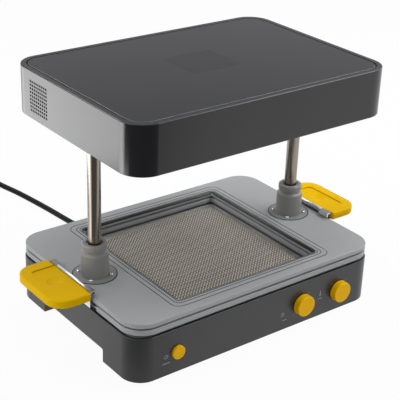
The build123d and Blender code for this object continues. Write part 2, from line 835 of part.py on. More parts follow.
# ================================================================ heater head
recess_width = head_width - 2 * panel_margin
recess_depth = head_depth - 2 * panel_margin
recess_corner = head_corner - panel_margin
cavity_width = head_width - 2 * head_wall
cavity_depth = head_depth - 2 * head_wall
cavity_corner = head_corner - head_wall
grille_size = fan_size + 2 * grille_margin
fan_z = head_bottom + fan_height
with BuildPart() as head_shell:
    rounded_slab(head_width, head_depth, head_corner, head_bottom, head_height)
    fillet(head_shell.edges().group_by(Axis.Z)[-1], radius=head_edge_round)
    fillet(head_shell.edges().group_by(Axis.Z)[0], radius=head_edge_round)
    with BuildSketch(Plane.XY.offset(head_top - panel_thickness)):
        RectangleRounded(recess_width, recess_depth, recess_corner)
    extrude(amount=panel_thickness, mode=Mode.SUBTRACT)
    with BuildSketch(Plane.XY.offset(head_bottom)):
        RectangleRounded(cavity_width, cavity_depth, cavity_corner)
    extrude(amount=head_skin_bottom - head_bottom, mode=Mode.SUBTRACT)
    # the window for the fan's grille in the left wall
    with BuildSketch(Plane.YZ.offset(-head_width / 2)):
        with Locations((fan_y, fan_z)):
            Rectangle(grille_size, grille_size)
    extrude(amount=head_wall, mode=Mode.SUBTRACT)
save(head_shell.part, "head_shell")

with BuildPart() as head_top_panel:
    rounded_slab(
        recess_width - 2 * panel_gap,
        recess_depth - 2 * panel_gap,
        recess_corner - panel_gap,
        head_top - panel_thickness,
        panel_thickness,
    )
    fillet(head_top_panel.edges().group_by(Axis.Z)[-1], radius=head_edge_round / 2)
save(head_top_panel.part, "head_top_panel")

with BuildPart() as vent_grille:
    with BuildSketch(Plane.YZ.offset(-head_width / 2)):
        with Locations((fan_y, fan_z)):
            Rectangle(grille_size, grille_size)
            with GridLocations(grille_pitch, grille_pitch, grille_count, grille_count):
                RegularPolygon(grille_hole / 2, 6, mode=Mode.SUBTRACT)
    extrude(amount=head_wall)
save(vent_grille.part, "vent_grille")

head_screw_points = [
    (i * (head_width / 2 - screw_inset), j * (head_depth / 2 - screw_inset)) for i in (-1, 1) for j in (-1, 1)
]
with BuildPart() as head_bottom_plate:
    rounded_slab(
        cavity_width - 2 * loose_clearance,
        cavity_depth - 2 * loose_clearance,
        cavity_corner - loose_clearance,
        head_bottom,
        bottom_plate_thickness,
    )
    with BuildSketch(Plane.XY.offset(head_bottom)):
        RectangleRounded(heater_opening, heater_opening, opening_corner)
    extrude(amount=bottom_plate_thickness, mode=Mode.SUBTRACT)
    round_holes(column_points(), well_radius, head_bottom, bottom_plate_thickness)
    round_holes(head_screw_points, screw_shank / 2 + seat_clearance, head_bottom, bottom_plate_thickness)
save(head_bottom_plate.part, "head_bottom_plate")

with BuildPart() as head_screws:
    with BuildSketch(Plane.XY.offset(head_bottom)):
        with Locations(*head_screw_points):
            Circle(screw_diameter / 2)
    extrude(amount=-screw_head_height)
    with BuildSketch(Plane.XY.offset(head_bottom)):
        with Locations(*head_screw_points):
            Circle(screw_shank / 2)
    extrude(amount=screw_length)
save(head_screws.part, "head_screws")

# posts that hang from the shell's roof take the plate's screws
with BuildPart() as head_posts:
    with BuildSketch(Plane.XY.offset(plate_top)):
        with Locations(*head_screw_points):
            Circle(screw_diameter)
            Circle(screw_shank / 2 + seat_clearance, mode=Mode.SUBTRACT)
    extrude(amount=head_skin_bottom - plate_top)
save(head_posts.part, "head_posts")

with BuildPart() as collar_wells:
    with BuildSketch(Plane.XY.offset(plate_top)):
        with Locations(*column_points()):
            Circle(well_radius + well_wall)
    extrude(amount=well_top + well_wall - plate_top)
    round_holes(column_points(), well_radius, plate_top, well_top - plate_top)
    round_holes(column_points(), column_radius + seat_clearance, plate_top, well_top + well_wall - plate_top)
save(collar_wells.part, "collar_wells")

with BuildPart() as head_column_clamps:
    with BuildSketch(Plane.XY.offset(well_top + well_wall)):
        with Locations(*column_points()):
            RectangleRounded(clamp_size, clamp_size, clamp_corner)
            Circle(column_radius + seat_clearance, mode=Mode.SUBTRACT)
    extrude(amount=clamp_height)
save(head_column_clamps.part, "head_column_clamps")

reflector_inner = heater_opening
reflector_outer = reflector_inner + 2 * reflector_wall
with BuildPart() as heater_reflector:
    with BuildSketch(Plane.XY.offset(plate_top)):
        Rectangle(reflector_outer + 2 * reflector_lip, reflector_outer + 2 * reflector_lip)
    extrude(amount=reflector_wall)
    with BuildSketch(Plane.XY.offset(plate_top)):
        Rectangle(reflector_outer, reflector_outer)
    extrude(amount=reflector_height)
    with BuildSketch(Plane.XY.offset(plate_top)):
        Rectangle(reflector_inner, reflector_inner)
    extrude(amount=reflector_height - reflector_wall, mode=Mode.SUBTRACT)
save(heater_reflector.part, "heater_reflector")

tile_top = reflector_top - reflector_wall - heater_tile_drop
heater_tile = (reflector_inner - heater_tile_gap) / 2 - heater_tile_margin
heater_tile_spacing = heater_tile + heater_tile_gap
with BuildPart() as heater_elements:
    with BuildSketch(Plane.XY.offset(tile_top - heater_tile_thickness)):
        with GridLocations(heater_tile_spacing, heater_tile_spacing, 2, 2):
            RectangleRounded(heater_tile, heater_tile, heater_tile_corner)
    extrude(amount=heater_tile_thickness)
    with BuildSketch(Plane.XY.offset(tile_top)):
        with GridLocations(heater_tile_spacing, heater_tile_spacing, 2, 2):
            Circle(heater_post_diameter / 2)
    extrude(amount=heater_tile_drop)
save(heater_elements.part, "heater_elements")

guard_count = int(heater_opening / guard_pitch)
guard_outer = heater_opening - 2 * loose_clearance
guard_inner = guard_outer - 2 * guard_frame
guard_bottom = plate_top - guard_wire
with BuildPart() as heater_guard:
    rounded_frame(guard_outer, guard_inner, opening_corner, guard_bottom, guard_wire)
    with BuildSketch(Plane.XY.offset(guard_bottom)):
        with GridLocations(guard_pitch, 0, guard_count, 1):
            Rectangle(guard_wire, guard_outer - guard_frame)
        with GridLocations(0, guard_pitch, 1, guard_count):
            Rectangle(guard_outer - guard_frame, guard_wire)
    extrude(amount=guard_wire)
save(heater_guard.part, "heater_guard")

with BuildPart() as heater_insulation:
    with BuildSketch(Plane.XY.offset(reflector_top)):
        Rectangle(reflector_outer, reflector_outer)
    extrude(amount=insulation_thickness)
save(heater_insulation.part, "heater_insulation")

# ---------------------------------------------------------------- cooling fan
fan_outer_x = -(head_width / 2 - head_wall)
fan_inner_x = fan_outer_x + fan_depth
fan_bore = fan_size - 2 * fan_rim
rotor_depth = fan_depth - rotor_front_gap - rotor_back_gap - fan_strut_thickness
rotor_start = fan_outer_x + rotor_front_gap
with BuildPart() as fan_frame:
    with BuildSketch(Plane.YZ.offset(fan_outer_x)):
        with Locations((fan_y, fan_z)):
            RectangleRounded(fan_size, fan_size, fan_corner)
            Circle(fan_bore / 2, mode=Mode.SUBTRACT)
    extrude(amount=fan_depth)
    # three struts carry the hub's bearing at the inner face
    with BuildSketch(Plane.YZ.offset(fan_inner_x - fan_strut_thickness)):
        with Locations((fan_y, fan_z)):
            Circle(fan_hub_radius)
            with PolarLocations(fan_bore / 4 + fan_strut_overlap, 3):
                Rectangle(fan_bore / 2, fan_strut_width)
            Circle(fan_axle_diameter / 2 + running_clearance, mode=Mode.SUBTRACT)
    extrude(amount=fan_strut_thickness)
save(fan_frame.part, "fan_frame")

with BuildPart() as fan_rotor:
    with BuildSketch(Plane.YZ.offset(rotor_start)):
        with Locations((fan_y, fan_z)):
            Circle(fan_hub_radius)
    extrude(amount=rotor_depth)
    blade_length = fan_bore / 2 - blade_tip_gap - fan_hub_radius + blade_root
    blade_centre = fan_hub_radius - blade_root + blade_length / 2
    with Locations(Plane.YZ.offset(rotor_start + rotor_depth / 2)):
        with Locations((fan_y, fan_z)):
            with PolarLocations(blade_centre, fan_blade_count):
                Box(
                    blade_length,
                    fan_blade_thickness,
                    rotor_depth,
                    rotation=(fan_blade_pitch, 0, 0),
                )
    with BuildSketch(Plane.YZ.offset(rotor_start + rotor_depth)):
        with Locations((fan_y, fan_z)):
            Circle(fan_axle_diameter / 2)
    extrude(amount=fan_inner_x - rotor_start - rotor_depth)
save(fan_rotor.part, "fan_rotor")

# ================================================================ controls
board_y = front_y + base_wall + board_from_wall
with BuildPart() as control_board:
    with BuildSketch(Plane.XZ.offset(-board_y)):
        mid_x = sum(knob_positions.values()) / len(knob_positions)
        with Locations((mid_x, pan_top + board_height / 2)):
            Rectangle(board_width, board_height)
        with Locations(*[(x, control_z) for x in knob_positions.values()]):
            Circle(shaft_hole_radius, mode=Mode.SUBTRACT)
    extrude(amount=-board_thickness)
save(control_board.part, "control_board")

knob_back = front_y - knob_wall_gap
shaft_front = knob_back - knob_depth / 2
for name, x in knob_positions.items():
    with BuildPart() as pot:
        with BuildSketch(Plane.XZ.offset(-board_y)):
            with Locations((x, control_z)):
                RectangleRounded(pot_size, pot_size, pot_corner)
                Circle(shaft_diameter / 2 + running_clearance, mode=Mode.SUBTRACT)
        extrude(amount=pot_depth)
    save(pot.part, f"{name}_control")

    with BuildPart() as shaft:
        with BuildSketch(Plane.XZ.offset(-shaft_front)):
            with Locations((x, control_z)):
                Circle(shaft_diameter / 2)
        extrude(amount=shaft_front - board_y - board_thickness)
    save(shaft.part, f"{name}_shaft")

    with BuildPart() as knob:
        with BuildSketch(Plane.XZ.offset(-knob_back)):
            with Locations((x, control_z)):
                Circle(knob_diameter / 2)
        extrude(amount=knob_depth, taper=knob_taper)
        fillet(knob.edges().group_by(Axis.Y)[0], radius=knob_edge_round)
        with BuildSketch(Plane.XZ.offset(-knob_back)):
            with Locations((x, control_z)):
                Circle(shaft_diameter / 2 + seat_clearance)
        extrude(amount=knob_depth / 2, mode=Mode.SUBTRACT)
    save(knob.part, f"{name}_knob")

button_front = front_y - button_stand_out
button_shoulder = front_y + base_wall
stem_start = button_shoulder + button_lug_depth
stem_end = stem_start + button_stem_length
with BuildPart() as vacuum_button:
    with BuildSketch(Plane.XZ.offset(-button_front)):
        with Locations((button_x, control_z)):
            Circle(button_diameter / 2)
    extrude(amount=button_front - button_shoulder)
    fillet(vacuum_button.edges().group_by(Axis.Y)[0], radius=button_edge_round)
    with BuildSketch(Plane.XZ.offset(-button_shoulder)):
        with Locations((button_x, control_z)):
            Rectangle(button_diameter + 2 * button_lug_reach, button_lug_height)
    extrude(amount=-button_lug_depth)
    with BuildSketch(Plane.XZ.offset(-stem_start)):
        with Locations((button_x, control_z)):
            Circle(button_stem_diameter / 2)
    extrude(amount=-button_stem_length)
save(vacuum_button.part, "vacuum_button")

with BuildPart() as vacuum_switch:
    with BuildSketch(Plane.XZ.offset(-(stem_end + button_travel + loose_clearance))):
        with Locations((button_x, pan_top + switch_height / 2)):
            Rectangle(switch_width, switch_height)
    extrude(amount=-switch_depth)
save(vacuum_switch.part, "vacuum_switch")

# ================================================================ power
with BuildPart() as power_outlet:
    with BuildSketch(Plane.XZ.offset(-back_y)):
        with Locations((outlet_x, outlet_z)):
            RectangleRounded(outlet_width, outlet_height, outlet_corner)
    extrude(amount=-outlet_face)
    with BuildSketch(Plane.XZ.offset(-back_y)):
        with Locations((outlet_x, outlet_z)):
            Rectangle(outlet_body_width - 2 * seat_clearance, outlet_body_height - 2 * seat_clearance)
    extrude(amount=outlet_body_depth)
    with BuildSketch(Plane.XZ.offset(-back_y - outlet_face)):
        with Locations((outlet_x, outlet_z - outlet_slot_drop)):
            with GridLocations(outlet_slot_spacing, 0, 2, 1):
                Rectangle(outlet_slot_width, outlet_slot_height)
        with Locations((outlet_x, outlet_z + outlet_earth_rise)):
            Circle(outlet_slot_height / 2)
    extrude(amount=outlet_slot_depth, mode=Mode.SUBTRACT)
save(power_outlet.part, "power_outlet")

board_bottom = pan_top + standoff_height
power_board_x = side_x - power_board_inset
with BuildPart() as power_board:
    with BuildSketch(Plane.XY.offset(board_bottom)):
        with Locations((power_board_x, power_board_y)):
            Rectangle(power_board_width, power_board_depth)
    extrude(amount=board_thickness)
    with BuildSketch(Plane.XY.offset(pan_top)):
        with Locations((power_board_x, power_board_y)):
            with GridLocations(
                power_board_width - 2 * standoff_inset, power_board_depth - 2 * standoff_inset, 2, 2
            ):
                Circle(standoff_diameter / 2)
    extrude(amount=standoff_height)
    with BuildSketch(Plane.XY.offset(board_bottom + board_thickness)):
        for x, y, width, depth in board_parts:
            with Locations((power_board_x + x, power_board_y + y)):
                Rectangle(width, depth)
    extrude(amount=board_part_height)
save(power_board.part, "power_board")

# ================================================================ mains cord
cord_floor = cord_radius + cord_clearance
relief_flange_radius = relief_root_radius + relief_flange_rim
relief_tip_radius = cord_radius + relief_tip_wall
relief_end = back_y + relief_flange_thickness + relief_length
with BuildPart() as cord_strain_relief:
    with BuildSketch(Plane.XY):
        with BuildLine():
            Polyline(
                (0, back_y - base_wall),
                (relief_root_radius, back_y - base_wall),
                (relief_root_radius, back_y),
                (relief_flange_radius, back_y),
                (relief_flange_radius, back_y + relief_flange_thickness),
                (relief_root_radius, back_y + relief_flange_thickness),
                (relief_tip_radius, relief_end),
                (0, relief_end),
                close=True,
            )
        make_face()
    revolve(axis=Axis.Y)
save(cord_strain_relief.part.moved(Location((cord_x, 0, cord_z))), "cord_strain_relief")

# the free stretch: out of the relief, down to the table and away to the back
cord_route = [
    (cord_x, relief_end, cord_z),
    (cord_x, 196.0, cord_z),
    (-32.2, 222.0, 21.0),
    (-31.2, 246.0, cord_floor + 2.0),
    (-31.8, 272.0, cord_floor),
    (-35.0, 308.0, cord_floor),
    (-39.8, 348.0, cord_floor),
    (-46.4, 394.0, cord_floor),
    (coil_start[0], 436.0, cord_floor),
    (coil_start[0], coil_start[1], cord_floor),
]


def corner_radii(points):
    """Bend radius at each inner point of a route, as large as its two runs allow."""
    radii = []
    for before, here, after in zip(points, points[1:], points[2:]):
        run_in = Vector(*here) - Vector(*before)
        run_out = Vector(*after) - Vector(*here)
        turn = radians(run_in.get_angle(run_out))
        radii.append(0.45 * min(run_in.length, run_out.length) / tan(turn / 2))
    return radii


cord_radii = corner_radii(cord_route)
with BuildPart() as mains_cord:
    with BuildLine() as cord_path:
        FilletPolyline(*cord_route, radius=cord_radii)
    cord_start = Vector(*cord_route[1]) - Vector(*cord_route[0])
    with BuildSketch(Plane(origin=cord_route[0], z_dir=cord_start)):
        Circle(cord_radius)
    sweep()
cord_length = cord_path.wires()[0].length
print("cord bend radii", [round(r, 1) for r in cord_radii])
print("cord length", round(cord_length, 1), "volume", round(mains_cord.part.volume, 1))
print("section times length", round(pi * cord_radius**2 * cord_length, 1))
save(mains_cord.part, "mains_cord")


def half_turn(start, end, heading):
    """Two tangent arcs from start to end that leave along heading and arrive against it."""
    a = Vector(*start)
    b = Vector(*end)
    reach = (b - a).length / 2
    middle = (a + b) / 2 + heading * reach
    return [
        Edge.make_tangent_arc(a, heading, middle),
        Edge.make_tangent_arc(middle, b - a, b),
    ]


# the put-away length: in towards the middle, up one layer, and out again on top
coil_x = coil_start[0] - coil_outer_radius
coil_y = coil_start[1] + cord_diameter
coil_pitch = cord_diameter + coil_turn_gap
coil_top_layer = cord_floor + coil_pitch
crossings = [(coil_outer_radius - k * coil_pitch / 2, cord_floor) for k in range(coil_in_turns + 1)]
inner_radius = crossings[-1][0]
crossings.append((inner_radius - coil_pitch / 2, coil_top_layer))
crossings += [(inner_radius + (k + 1) * coil_pitch / 2, coil_top_layer) for k in range(coil_out_turns)]
coil_points = [(coil_x + (-1) ** k * r, coil_y, z) for k, (r, z) in enumerate(crossings)]
coil_edges = [Edge.make_line(Vector(*coil_start, cord_floor), Vector(*coil_points[0]))]
for k, (start, end) in enumerate(zip(coil_points, coil_points[1:])):
    coil_edges += half_turn(start, end, Vector(0, (-1) ** k, 0))
last = Vector(*coil_points[-1])
coil_end = last + Vector(0, coil_tail, 0)
coil_edges.append(Edge.make_line(last, coil_end))
with BuildPart() as cord_coil:
    with BuildLine() as coil_path:
        add(coil_edges)
    with BuildSketch(Plane(origin=(*coil_start, cord_floor), z_dir=(0, 1, 0))):
        Circle(cord_radius)
    sweep(path=coil_path.wires()[0])
coil_length = sum(edge.length for edge in coil_edges)
samples = []
along = 0.0
for edge in coil_edges:
    steps = max(2, int(edge.length / 3))
    samples += [(along + edge.length * i / steps, tuple(edge @ (i / steps))) for i in range(steps)]
    along += edge.length
least = min(
    dist(p, q) for s, p in samples for t, q in samples if t - s > 4 * cord_diameter
)
print("coil length", round(coil_length, 1), "volume", round(cord_coil.part.volume, 1))
print("section times length", round(pi * cord_radius**2 * coil_length, 1))
print("coil least gap", round(least - cord_diameter, 2))
print("whole cord", round(cord_length + coil_length, 0))
save(cord_coil.part, "cord_coil")

plug_y = coil_end.Y
with BuildPart() as mains_plug:
    with BuildSketch(Plane.XZ.offset(-plug_y)):
        with Locations((coil_end.X, coil_end.Z)):
            Circle(plug_neck_radius)
    with BuildSketch(Plane.XZ.offset(-plug_y - plug_neck_length)):
        with Locations((coil_end.X, coil_end.Z)):
            Circle(plug_shoulder_radius)
    loft()
    with BuildSketch(Plane.XZ.offset(-plug_y - plug_neck_length)):
        with Locations((coil_end.X, coil_end.Z)):
            RectangleRounded(plug_width, plug_height, plug_corner)
    extrude(amount=-plug_length)
    fillet(mains_plug.faces().sort_by(Axis.Y)[-1].edges(), radius=plug_edge_round)
save(mains_plug.part, "mains_plug")

plug_face = plug_y + plug_neck_length + plug_length
with BuildPart() as plug_pins:
    with BuildSketch(Plane.XZ.offset(-plug_face)):
        with Locations(
            (coil_end.X - blade_spacing / 2, coil_end.Z + blade_rise),
            (coil_end.X + blade_spacing / 2, coil_end.Z + blade_rise),
        ):
            Rectangle(blade_thickness, blade_width)
    extrude(amount=-blade_length)
    with BuildSketch(Plane.XZ.offset(-plug_face)):
        with Locations((coil_end.X, coil_end.Z + blade_rise - earth_pin_drop)):
            Circle(earth_pin_diameter / 2)
    extrude(amount=-earth_pin_length)
save(plug_pins.part, "plug_pins")
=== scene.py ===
"""The looks of the hobby vacuum forming machine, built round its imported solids.

Everything is in metres in the part's own frame: +X to the machine's right,
+Y to its back, +Z up, with the origin on the table between the two columns.
"""

import json
from math import cos, pi, radians, sin

import bmesh
import bpy
from mathutils import Matrix, Vector


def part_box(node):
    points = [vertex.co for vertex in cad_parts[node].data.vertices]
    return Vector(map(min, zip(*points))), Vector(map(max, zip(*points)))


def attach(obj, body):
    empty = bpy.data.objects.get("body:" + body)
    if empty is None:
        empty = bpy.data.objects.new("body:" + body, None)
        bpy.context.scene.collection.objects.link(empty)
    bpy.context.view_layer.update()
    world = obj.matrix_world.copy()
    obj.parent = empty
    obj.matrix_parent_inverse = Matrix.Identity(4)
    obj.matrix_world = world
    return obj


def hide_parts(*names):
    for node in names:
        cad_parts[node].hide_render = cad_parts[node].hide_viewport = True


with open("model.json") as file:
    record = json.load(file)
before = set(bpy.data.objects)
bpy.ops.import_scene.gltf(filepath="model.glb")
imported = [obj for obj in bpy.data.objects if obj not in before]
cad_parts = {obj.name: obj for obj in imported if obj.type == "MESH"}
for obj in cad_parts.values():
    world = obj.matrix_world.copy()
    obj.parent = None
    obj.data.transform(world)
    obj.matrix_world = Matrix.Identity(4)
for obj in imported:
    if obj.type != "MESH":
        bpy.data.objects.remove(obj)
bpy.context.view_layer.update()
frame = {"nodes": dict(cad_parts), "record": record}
MM = 0.001
MACHINE = "machine"
CLAMPING_TRAY = "clamping_tray"
# pattern scales of a moulded skin: its spark pebble, really about 0.1 mm and drawn at 0.8 mm so that it
# shows, and the 60 mm flow marks of the melt
PEBBLE_SCALE = 1000 / 0.8
FLOW_SCALE = 1000 / 60


# ---------------------------------------------------------------- node helpers
def linear(code):
    """Turn an sRGB hex colour into the linear colour that a shader takes."""
    parts = [int(code[i:i + 2], 16) / 255 for i in (1, 3, 5)]
    return tuple(c / 12.92 if c <= 0.04045 else ((c + 0.055) / 1.055) ** 2.4 for c in parts) + (1.0,)


def add(tree, kind, inputs=None, **settings):
    """Add a shader node, with its settings and what each input is set or linked to."""
    made = tree.nodes.new("ShaderNode" + kind)
    for key, value in settings.items():
        setattr(made, key, value)
    for key, value in (inputs or {}).items():
        if isinstance(value, bpy.types.NodeSocket):
            tree.links.new(value, made.inputs[key])
        else:
            made.inputs[key].default_value = value
    return made


def start_finish(name):
    """A material with an empty node tree, and the object's own coordinates in metres."""
    material = bpy.data.materials.new(name)
    material.use_nodes = True
    material.node_tree.nodes.clear()
    return material, material.node_tree, add(material.node_tree, "TexCoord").outputs["Object"]


def end_finish(material, sockets):
    """Close a finish with its shader and return it."""
    shader = add(material.node_tree, "BsdfPrincipled", sockets)
    add(material.node_tree, "OutputMaterial", {"Surface": shader.outputs[0]})
    return material


# ---------------------------------------------------------------- finishes
def moulded_abs(name, dark, light, roughness, ior=1.46, specular=0.5, edge_mm=0.3):
    """ABS from a finely spark-eroded mould: satin, with a very fine even pebble and soft edges."""
    material, tree, place = start_finish(name)
    pebble = add(tree, "TexNoise", {"Vector": place, "Scale": PEBBLE_SCALE, "Detail": 3.0}).outputs["Fac"]
    flow = add(tree, "TexNoise", {"Vector": place, "Scale": FLOW_SCALE, "Detail": 2.0}).outputs["Fac"]
    colour = add(tree, "Mix", {"Factor": flow, "A": linear(dark), "B": linear(light)}, data_type="RGBA")
    satin = add(tree, "MapRange", {"Value": pebble, "To Min": roughness - 0.05, "To Max": roughness + 0.05})
    worn = add(tree, "Bevel", {"Radius": edge_mm * MM}, samples=6)
    relief = add(tree, "Bump", {"Height": pebble, "Distance": 0.004 * MM, "Normal": worn.outputs[0]})
    return end_finish(material, {
        "Base Color": colour.outputs["Result"],
        "Roughness": satin.outputs["Result"],
        "Normal": relief.outputs["Normal"],
        "IOR": ior,
        "Specular IOR Level": specular,
    })


def drilled_abs(
    name, dark, light, edge_highlight_colour, hole_and_groove_shade, roughness, centre_mm, size_mm, pitch_mm, hole_mm
):
    """The top panel's ABS, with a rectangular field of small round air holes through it, painted near black
    as painted shade inside them.
    Its trimmed edge is a painted highlight, a pale band just below the top face, and the wall below is
    painted dark as painted shade down in the groove."""
    material, tree, place = start_finish(name)
    flow = add(tree, "TexNoise", {"Vector": place, "Scale": FLOW_SCALE, "Detail": 2.0}).outputs["Fac"]
    skin = add(tree, "Mix", {"Factor": flow, "A": linear(dark), "B": linear(light)}, data_type="RGBA")
    shift = tuple(-c * MM for c in centre_mm) + (0.0,)
    local = add(tree, "Mapping", {"Vector": place, "Location": shift}).outputs[0]
    rows = {"Vector": local, "Scale": 1000 / pitch_mm, "Randomness": 0.0}
    grid = add(tree, "TexVoronoi", rows, voronoi_dimensions="2D").outputs["Distance"]
    hole_share = hole_mm / 2 / pitch_mm
    holes = add(tree, "Math", {0: grid, 1: hole_share}, operation="LESS_THAN").outputs[0]
    split = add(tree, "SeparateXYZ", {0: local})
    for axis in (0, 1):
        offset = add(tree, "Math", {0: split.outputs[axis]}, operation="ABSOLUTE").outputs[0]
        within = add(tree, "Math", {0: offset, 1: size_mm[axis] / 2 * MM}, operation="LESS_THAN").outputs[0]
        holes = add(tree, "Math", {0: holes, 1: within}, operation="MULTIPLY").outputs[0]
    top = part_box("head_top_panel")[1][2]
    edge_drop_mm = 0.04
    wall_drop_mm = 0.35
    height = add(tree, "SeparateXYZ", {0: place}).outputs["Z"]
    # painted highlight on a pale band just below the panel's top, then painted shade on the groove wall below
    # it
    for drop_mm, shade in ((edge_drop_mm, edge_highlight_colour), (wall_drop_mm, hole_and_groove_shade)):
        under = add(tree, "Math", {0: height, 1: top - drop_mm * MM}, operation="LESS_THAN").outputs[0]
        layers = {"Factor": under, "A": skin.outputs["Result"], "B": linear(shade)}
        skin = add(tree, "Mix", layers, data_type="RGBA")
    # painted shade: the air holes are coloured near black
    layers = {"Factor": holes, "A": skin.outputs["Result"], "B": linear(hole_and_groove_shade)}
    colour = add(tree, "Mix", layers, data_type="RGBA")
    dull = add(tree, "MapRange", {"Value": holes, "To Min": roughness, "To Max": 0.9})
    sunk = add(tree, "Bump", {"Height": holes, "Distance": 0.4 * MM}, invert=True)
    return end_finish(material, {
        "Base Color": colour.outputs["Result"],
        "Roughness": dull.outputs["Result"],
        "Normal": sunk.outputs["Normal"],
        "IOR": 1.42,
    })


def punched_abs(name, skin, hole_wall_shade):
    """The casing's ABS where it is a side grille, with the unpolished walls of its air holes painted near
    black as painted shade.
    """
    material, tree, place = start_finish(name)
    facing = add(tree, "SeparateXYZ", {0: add(tree, "NewGeometry").outputs["Normal"]}).outputs["X"]
    outward = add(tree, "Math", {0: facing}, operation="ABSOLUTE").outputs[0]
    turned_away = 0.7
    # painted shade: faces turned away from the side, the hole walls, take the near-black colour
    wall = add(tree, "Math", {0: outward, 1: turned_away}, operation="LESS_THAN").outputs[0]
    colour = add(tree, "Mix", {"Factor": wall, "A": linear(skin), "B": linear(hole_wall_shade)}, data_type="RGBA")
    pebble = add(tree, "TexNoise", {"Vector": place, "Scale": PEBBLE_SCALE, "Detail": 3.0}).outputs["Fac"]
    satin = add(tree, "MapRange", {"Value": pebble, "To Min": 0.15, "To Max": 0.25})
    rough = add(tree, "Mix", {"Factor": wall, "A": satin.outputs["Result"], "B": 1.0})
    return end_finish(material, {
        "Base Color": colour.outputs["Result"],
        "Roughness": rough.outputs["Result"],
        "IOR": 1.55,
    })


def groove_shade_share(tree, place):
    """1 below the upper tray's face where its ring grooves run round the opening, and 0 elsewhere: where the
    coat gets its painted shade.
    The grooves' distances are from the edge of the forming bed."""
    first_groove = 4.2 * MM
    last_groove = 21 * MM
    drop = 0.03 * MM
    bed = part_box("forming_mesh")[1][0]
    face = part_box("upper_tray")[1][2]
    split = add(tree, "SeparateXYZ", {0: place})
    across = add(tree, "Math", {0: split.outputs["X"]}, operation="ABSOLUTE").outputs[0]
    along = add(tree, "Math", {0: split.outputs["Y"]}, operation="ABSOLUTE").outputs[0]
    reach = add(tree, "Math", {0: across, 1: along}, operation="MAXIMUM").outputs[0]
    share = add(tree, "Math", {0: split.outputs["Z"], 1: face - drop}, operation="LESS_THAN").outputs[0]
    for bound, test in ((bed + first_groove, "GREATER_THAN"), (bed + last_groove, "LESS_THAN")):
        inside = add(tree, "Math", {0: reach, 1: bound}, operation=test).outputs[0]
        share = add(tree, "Math", {0: share, 1: inside}, operation="MULTIPLY").outputs[0]
    return share


def powder_coat(name, dark, light, roughness, groove=None):
    """Silver-grey powder coat on cast aluminium: soft sheen, faint orange peel of 2.2 mm and metal flake.
    The real flake is under 0.1 mm and is drawn at 0.6 mm, so that it shows. With a groove colour, the
    coat is painted dark down in the upper tray's ring grooves, as painted shade."""
    material, tree, place = start_finish(name)
    peel = add(tree, "TexNoise", {"Vector": place, "Scale": 1000 / 2.2, "Detail": 1.5}).outputs["Fac"]
    flake = add(tree, "TexNoise", {"Vector": place, "Scale": 1000 / 0.6, "Detail": 5.0}).outputs["Fac"]
    colour = add(tree, "Mix", {"Factor": flake, "A": linear(dark), "B": linear(light)}, data_type="RGBA")
    if groove:
        # painted shade in the ring grooves
        layers = {"Factor": groove_shade_share(tree, place), "A": colour.outputs["Result"], "B": linear(groove)}
        colour = add(tree, "Mix", layers, data_type="RGBA")
    sheen = add(tree, "MapRange", {"Value": peel, "To Min": roughness - 0.05, "To Max": roughness + 0.05})
    relief = add(tree, "Bump", {"Height": peel, "Distance": 0.015 * MM})
    return end_finish(material, {
        "Base Color": colour.outputs["Result"],
        "Roughness": sheen.outputs["Result"],
        "Normal": relief.outputs["Normal"],
        "IOR": 1.5,
    })


def drawn_stainless(name, dark, light, roughness):
    """Cold drawn stainless tube: near mirror across, with long fine lines down its length.
    The real lines are 0.1 mm apart and are drawn at 0.5 mm."""
    material, tree, place = start_finish(name)
    along = add(tree, "Mapping", {"Vector": place, "Scale": (1.0, 1.0, 0.01)}).outputs[0]
    lines = add(tree, "TexNoise", {"Vector": along, "Scale": 1000 / 0.5, "Detail": 4.0}).outputs["Fac"]
    colour = add(tree, "Mix", {"Factor": lines, "A": linear(dark), "B": linear(light)}, data_type="RGBA")
    polish = add(tree, "MapRange", {"Value": lines, "To Min": roughness - 0.01, "To Max": roughness + 0.03})
    relief = add(tree, "Bump", {"Height": lines, "Distance": 0.0003 * MM})
    return end_finish(material, {
        "Base Color": colour.outputs["Result"],
        "Roughness": polish.outputs["Result"],
        "Normal": relief.outputs["Normal"],
        "Metallic": 1.0,
    })


def mill_metal(name, dark, light, roughness=0.35, metallic=1.0):
    """Sheet or turned metal as it leaves the press or lathe: soft shine, with faint clouds of 9 mm."""
    material, tree, place = start_finish(name)
    cloud = add(tree, "TexNoise", {"Vector": place, "Scale": 1000 / 9, "Detail": 5.0}).outputs["Fac"]
    colour = add(tree, "Mix", {"Factor": cloud, "A": linear(dark), "B": linear(light)}, data_type="RGBA")
    shine = add(tree, "MapRange", {"Value": cloud, "To Min": roughness - 0.08, "To Max": roughness + 0.08})
    return end_finish(material, {
        "Base Color": colour.outputs["Result"],
        "Roughness": shine.outputs["Result"],
        "Metallic": metallic,
    })


def chrome_plate(name):
    """Bright chrome on pressed steel: near mirror, with a trace of wiping marks, 6 mm wide and 30 mm long."""
    material, tree, place = start_finish(name)
    stroke = add(tree, "Mapping", {"Vector": place, "Scale": (1.0, 0.2, 1.0)}).outputs[0]
    wipe = add(tree, "TexNoise", {"Vector": stroke, "Scale": 1000 / 6, "Detail": 4.0}).outputs["Fac"]
    tints = {"Factor": wipe, "A": linear("#d5d5d7"), "B": linear("#ebebed")}
    colour = add(tree, "Mix", tints, data_type="RGBA")
    haze = add(tree, "MapRange", {"Value": wipe, "To Min": 0.08, "To Max": 0.16})
    return end_finish(material, {
        "Base Color": colour.outputs["Result"],
        "Roughness": haze.outputs["Result"],
        "Metallic": 1.0,
    })


